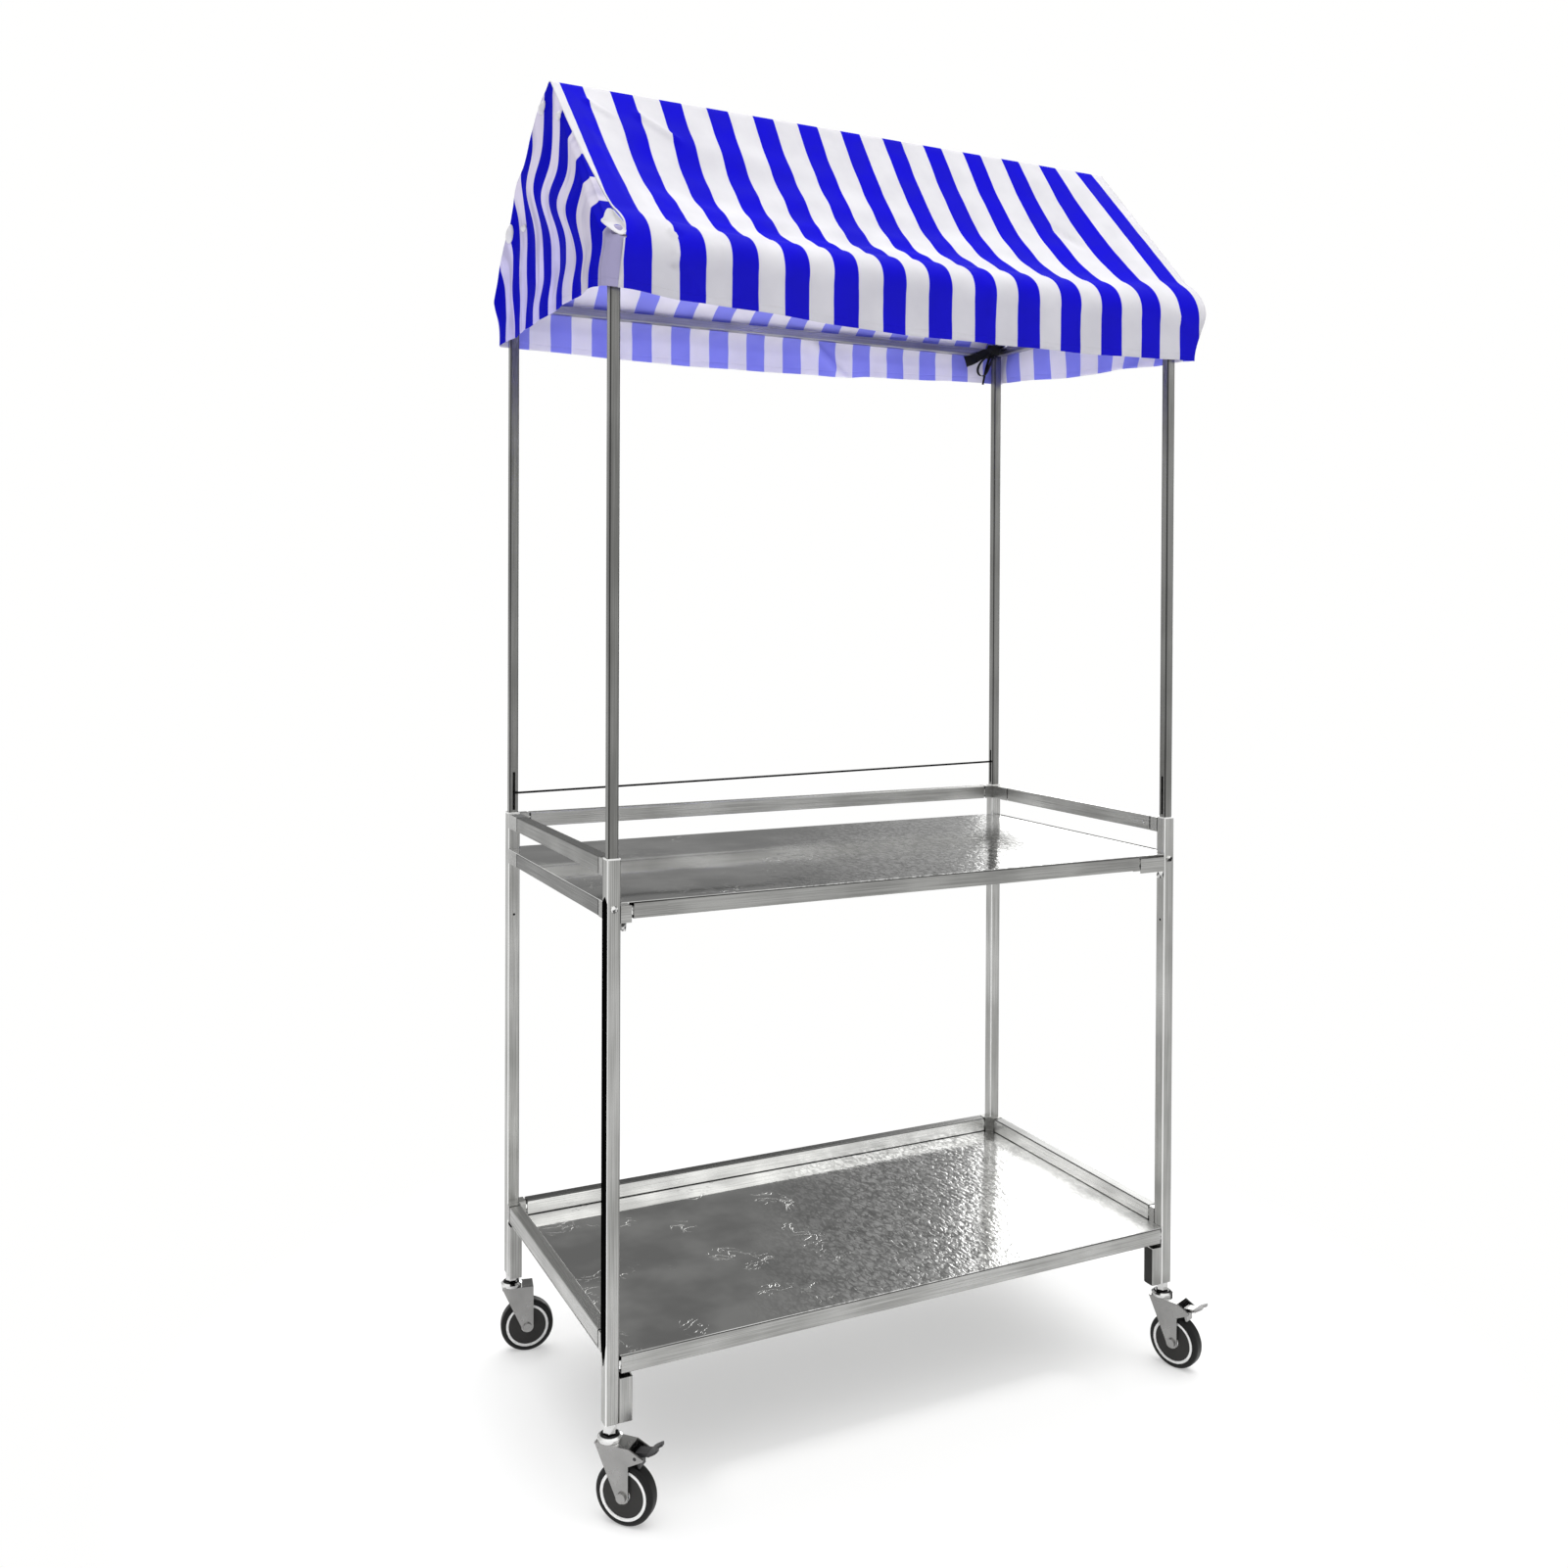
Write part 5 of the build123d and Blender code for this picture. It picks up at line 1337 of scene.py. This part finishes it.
# Thin dark strips on the left faces of the front left leg and of the front right foot stub: painted shade
STRIP_HALF = 0.0096
STRIP_LIFT = 0.00005
STRIP_T = 0.0006
STRIP_MERGE = 0.00001
LEG_STRIP_ENDS = (0.215, 0.865)
LEG_STRIP_FOOT = 0.030
STUB_STRIP_ENDS = (0.1355, 0.1963)
STUB_STRIP_ROUND = 0.0008


def make_strip(name, face_x, ends, foot, crown, material):
    """A thin dark strip of painted shade on the left face of a front tube: pointed foot, rounded crown.
    """
    bm = bmesh.new()
    bmesh.ops.create_grid(bm, x_segments=6, y_segments=80, size=0.5)
    for vert in bm.verts:
        z = mix(*ends, vert.co.y + 0.5)
        point = min(1.0, (z - ends[0]) / foot)
        curve = min(1.0, (ends[1] - z) / crown)
        width = STRIP_HALF * point * (1.0 - (1.0 - curve) ** 2) ** 0.5
        vert.co = Vector((face_x - STRIP_LIFT, -LEG_Y - 2 * vert.co.x * width, z))
    bmesh.ops.remove_doubles(bm, verts=bm.verts, dist=STRIP_MERGE)
    thicken(mesh_piece(name, bm, [material]), STRIP_T, offset=1.0)


make_strip(
    "leg_strip", face_x=-LEG_X - LEG_HALF, ends=LEG_STRIP_ENDS,
    foot=LEG_STRIP_FOOT, crown=STRIP_HALF, material=SHADE_STRIP,
)
# The stub's strip is painted shade too.
make_strip(
    "stub_strip", face_x=LEG_X - 3 * LEG_HALF, ends=STUB_STRIP_ENDS,
    foot=STUB_STRIP_ROUND, crown=STUB_STRIP_ROUND, material=GREY_PLASTIC,
)

# Dark strip of painted shade along the right end of the counter shelf, its middle a little in from the
# edge
SHADE_EDGE_R = 0.0010
SHADE_EDGE_IN = 1.2 * SHADE_EDGE_R
SHADE_EDGE_UP = 0.1 * SHADE_EDGE_R
SHADE_EDGE_HALF_Y = 0.2405


def make_shelf_edge():
    """The dark rounded strip of painted shade along the right end of the counter shelf."""
    bm = bmesh.new()
    bmesh.ops.create_grid(bm, x_segments=10, y_segments=60, size=0.5)
    for vert in bm.verts:
        angle = pi * (0.5 - vert.co.x)
        x = SHELF_END - SHADE_EDGE_IN + SHADE_EDGE_R * cos(angle)
        z = SHELF_TOP + SHADE_EDGE_UP + SHADE_EDGE_R * sin(angle)
        vert.co = Vector((x, 2.0 * SHADE_EDGE_HALF_Y * vert.co.y, z))
    mesh_piece("shelf_edge", bm, [GREY_PLASTIC])


make_shelf_edge()

# Floor: pale under the cart, white further off, and painted light that whitens it in front of the tray
FLOOR_HALF = 30.0
FLOOR_PALE = (0.92, 0.92, 0.915, 1.0)
FLOOR_PALER = (0.95, 0.95, 0.945, 1.0)
FLOOR_ROUGH = 0.9
FLOOR_FAR_SPAN = (0.65, 1.15)
FLOOR_GLOW = (0.42, 1.0)
TRAY_SPAN_X = (0.28, 0.42)
TRAY_SPAN_Y = (-0.26, -0.13)
TRAY_GLOW = (0.85, 0.0)
BACKDROP_WHITE = (1.0, 1.0, 0.995, 1.0)


def make_floor():
    """A pale floor that keeps the cart's soft shadow and fades to white further off."""
    bm = bmesh.new()
    bmesh.ops.create_grid(bm, x_segments=1, y_segments=1, size=FLOOR_HALF)
    data = bpy.data.meshes.new("studio_floor")
    bm.to_mesh(data)
    bm.free()
    floor_piece = bpy.data.objects.new("studio_floor", data)
    bpy.context.collection.objects.link(floor_piece)
    material, tree, shader, place = blank("studio_floor")
    tone = mottle(tree, place, scale=2.0, detail=2.0)["Fac"]
    tree.links.new(blend_colour(tree, tone, FLOOR_PALE, FLOOR_PALER), shader.inputs["Base Color"])
    shader.inputs["Roughness"].default_value = FLOOR_ROUGH
    shader.inputs["Specular IOR Level"].default_value = 0.0
    far = add(tree, "ShaderNodeVectorMath", {0: place}, operation="LENGTH").outputs["Value"]
    x, y, _ = split(tree, place)
    # Painted light: in front of the tray the floor turns white, so the cart's shadow stops short there.
    in_front = times(
        tree, spread(tree, y, TRAY_SPAN_Y, TRAY_GLOW), spread(tree, off(tree, x, 0.0), TRAY_SPAN_X, FALL)
    )
    glow = calc(tree, "MAXIMUM", spread(tree, far, FLOOR_FAR_SPAN, FLOOR_GLOW), in_front)
    rays = add(tree, "ShaderNodeLightPath").outputs
    seen = calc(tree, "MAXIMUM", rays["Is Camera Ray"], rays["Is Glossy Ray"])
    white = add(tree, "ShaderNodeEmission", {"Color": BACKDROP_WHITE, "Strength": 1.0})
    choose = add(
        tree, "ShaderNodeMixShader",
        {0: times(tree, glow, seen), 1: shader.outputs[0], 2: white.outputs[0]},
    )
    out = next(n for n in tree.nodes if n.type == "OUTPUT_MATERIAL")
    tree.links.new(choose.outputs[0], out.inputs["Surface"])
    data.materials.append(material)


make_floor()

# Room that the metal shows: level of its walls by share of a turn, with one bright side
WALL_STOPS = (
    (0.0, 0.72), (0.08, 0.60), (0.14, 0.22), (0.24, 0.22), (0.33, 0.45), (0.37, 0.85), (0.42, 0.78),
    (0.455, 0.50), (0.50, 0.27), (0.575, 0.27), (0.594, 0.42), (0.602, 5.0), (0.64, 5.0),
    (0.668, 0.15), (0.76, 0.15), (0.81, 0.80), (1.0, 0.72),
)
WALL_BLUE = 0.99
SIDES_BEFORE = (0.46, 0.50)
SIDES_AFTER = (0.80, 0.84)
BAND_FOOT = (0.05, 0.16)
BAND_SHARE = (0.0, 0.6)
BAND_TOP = (0.22, 0.30)
BAND_LIGHT = (1.3, 1.3, 1.32, 1.0)
PANEL_FOOT = (0.26, 0.34)
PANEL_TOP = (0.60, 0.70)
PANEL_LIGHT = (2.2, 2.2, 2.18, 1.0)
SECOND_BOUNCE = 2.5
CEILING_SPAN = (0.55, 0.85)
CEILING_LIGHT = (1.3, 1.3, 1.29, 1.0)

# Soft light from above, weaker from the left
SKY_SPAN = (0.5, 1.0)
SKY_LEVEL = (0.30, 3.70)
SKY_SIDE_SPAN = (-0.9, 0.1)
SKY_LEFT = (0.46, 0.46, 0.48, 1.0)
SKY_RIGHT = (1.0, 1.0, 1.0, 1.0)


def make_room(tree, way, rays):
    """The colour of the room around the cart, as its metal shows it."""
    x, y, z = split(tree, way)
    turned = calc(tree, "ADD", calc(tree, "DIVIDE", calc(tree, "ARCTAN2", x, y), 2 * pi), 0.5)
    ramp = add(tree, "ShaderNodeValToRGB", {"Fac": turned})
    elements = ramp.color_ramp.elements
    while len(elements) < len(WALL_STOPS):
        elements.new(0.5)
    for element, (place, level) in zip(elements, WALL_STOPS):
        element.position = place
        element.color = (level, level, level * WALL_BLUE, 1.0)
    before = spread(tree, turned, SIDES_BEFORE, FALL)
    after = spread(tree, turned, SIDES_AFTER)
    sides = calc(tree, "MAXIMUM", before, after)
    band = times(tree, spread(tree, z, BAND_FOOT, BAND_SHARE), spread(tree, z, BAND_TOP, FALL), sides)
    walls = blend_colour(tree, band, ramp.outputs["Color"], BAND_LIGHT)
    again = calc(tree, "GREATER_THAN", rays["Ray Depth"], SECOND_BOUNCE)
    panel = times(tree, spread(tree, z, PANEL_FOOT), spread(tree, z, PANEL_TOP, FALL), sides, again)
    walls = blend_colour(tree, panel, walls, PANEL_LIGHT)
    return blend_colour(tree, spread(tree, z, CEILING_SPAN), walls, CEILING_LIGHT)


def make_surroundings():
    """White seen past the cart, a soft room light, and a room with one bright side for the metal."""
    world = bpy.data.worlds.new("studio")
    bpy.context.scene.world = world
    world.use_nodes = True
    tree = world.node_tree
    way = add(tree, "ShaderNodeTexCoord").outputs["Generated"]
    rays = add(tree, "ShaderNodeLightPath").outputs
    x, _, z = split(tree, way)
    tint = blend_colour(tree, spread(tree, x, SKY_SIDE_SPAN), SKY_LEFT, SKY_RIGHT)
    level = spread(tree, z, SKY_SPAN, SKY_LEVEL)
    soft = add(tree, "ShaderNodeVectorMath", {0: tint, "Scale": level}, operation="SCALE").outputs[0]
    lit = blend_colour(tree, rays["Is Glossy Ray"], soft, make_room(tree, way, rays))
    seen = calc(tree, "MAXIMUM", rays["Is Camera Ray"], rays["Is Transmission Ray"])
    back = tree.nodes["Background"]
    tree.links.new(blend_colour(tree, seen, lit, BACKDROP_WHITE), back.inputs["Color"])
    back.inputs["Strength"].default_value = 1.0


make_surroundings()


def soft_light(name, place, target, size, power):
    """A large soft lamp aimed at a point."""
    data = bpy.data.lights.new(name, "AREA")
    data.shape = "SQUARE"
    data.size = size
    data.energy = power
    lamp = bpy.data.objects.new(name, data)
    bpy.context.collection.objects.link(lamp)
    lamp.location = place
    away = Vector(place) - Vector(target)
    lamp.rotation_euler = away.to_track_quat("Z", "Y").to_euler()


soft_light("key_light", place=(2.6, -2.6, 3.2), target=(0.0, 0.0, 0.8), size=1.6, power=9.0)
soft_light("fill_light", place=(-2.2, -3.2, 3.6), target=(0.0, 0.0, 1.2), size=2.6, power=5.0)

bpy.context.scene.view_settings.view_transform = "Standard"
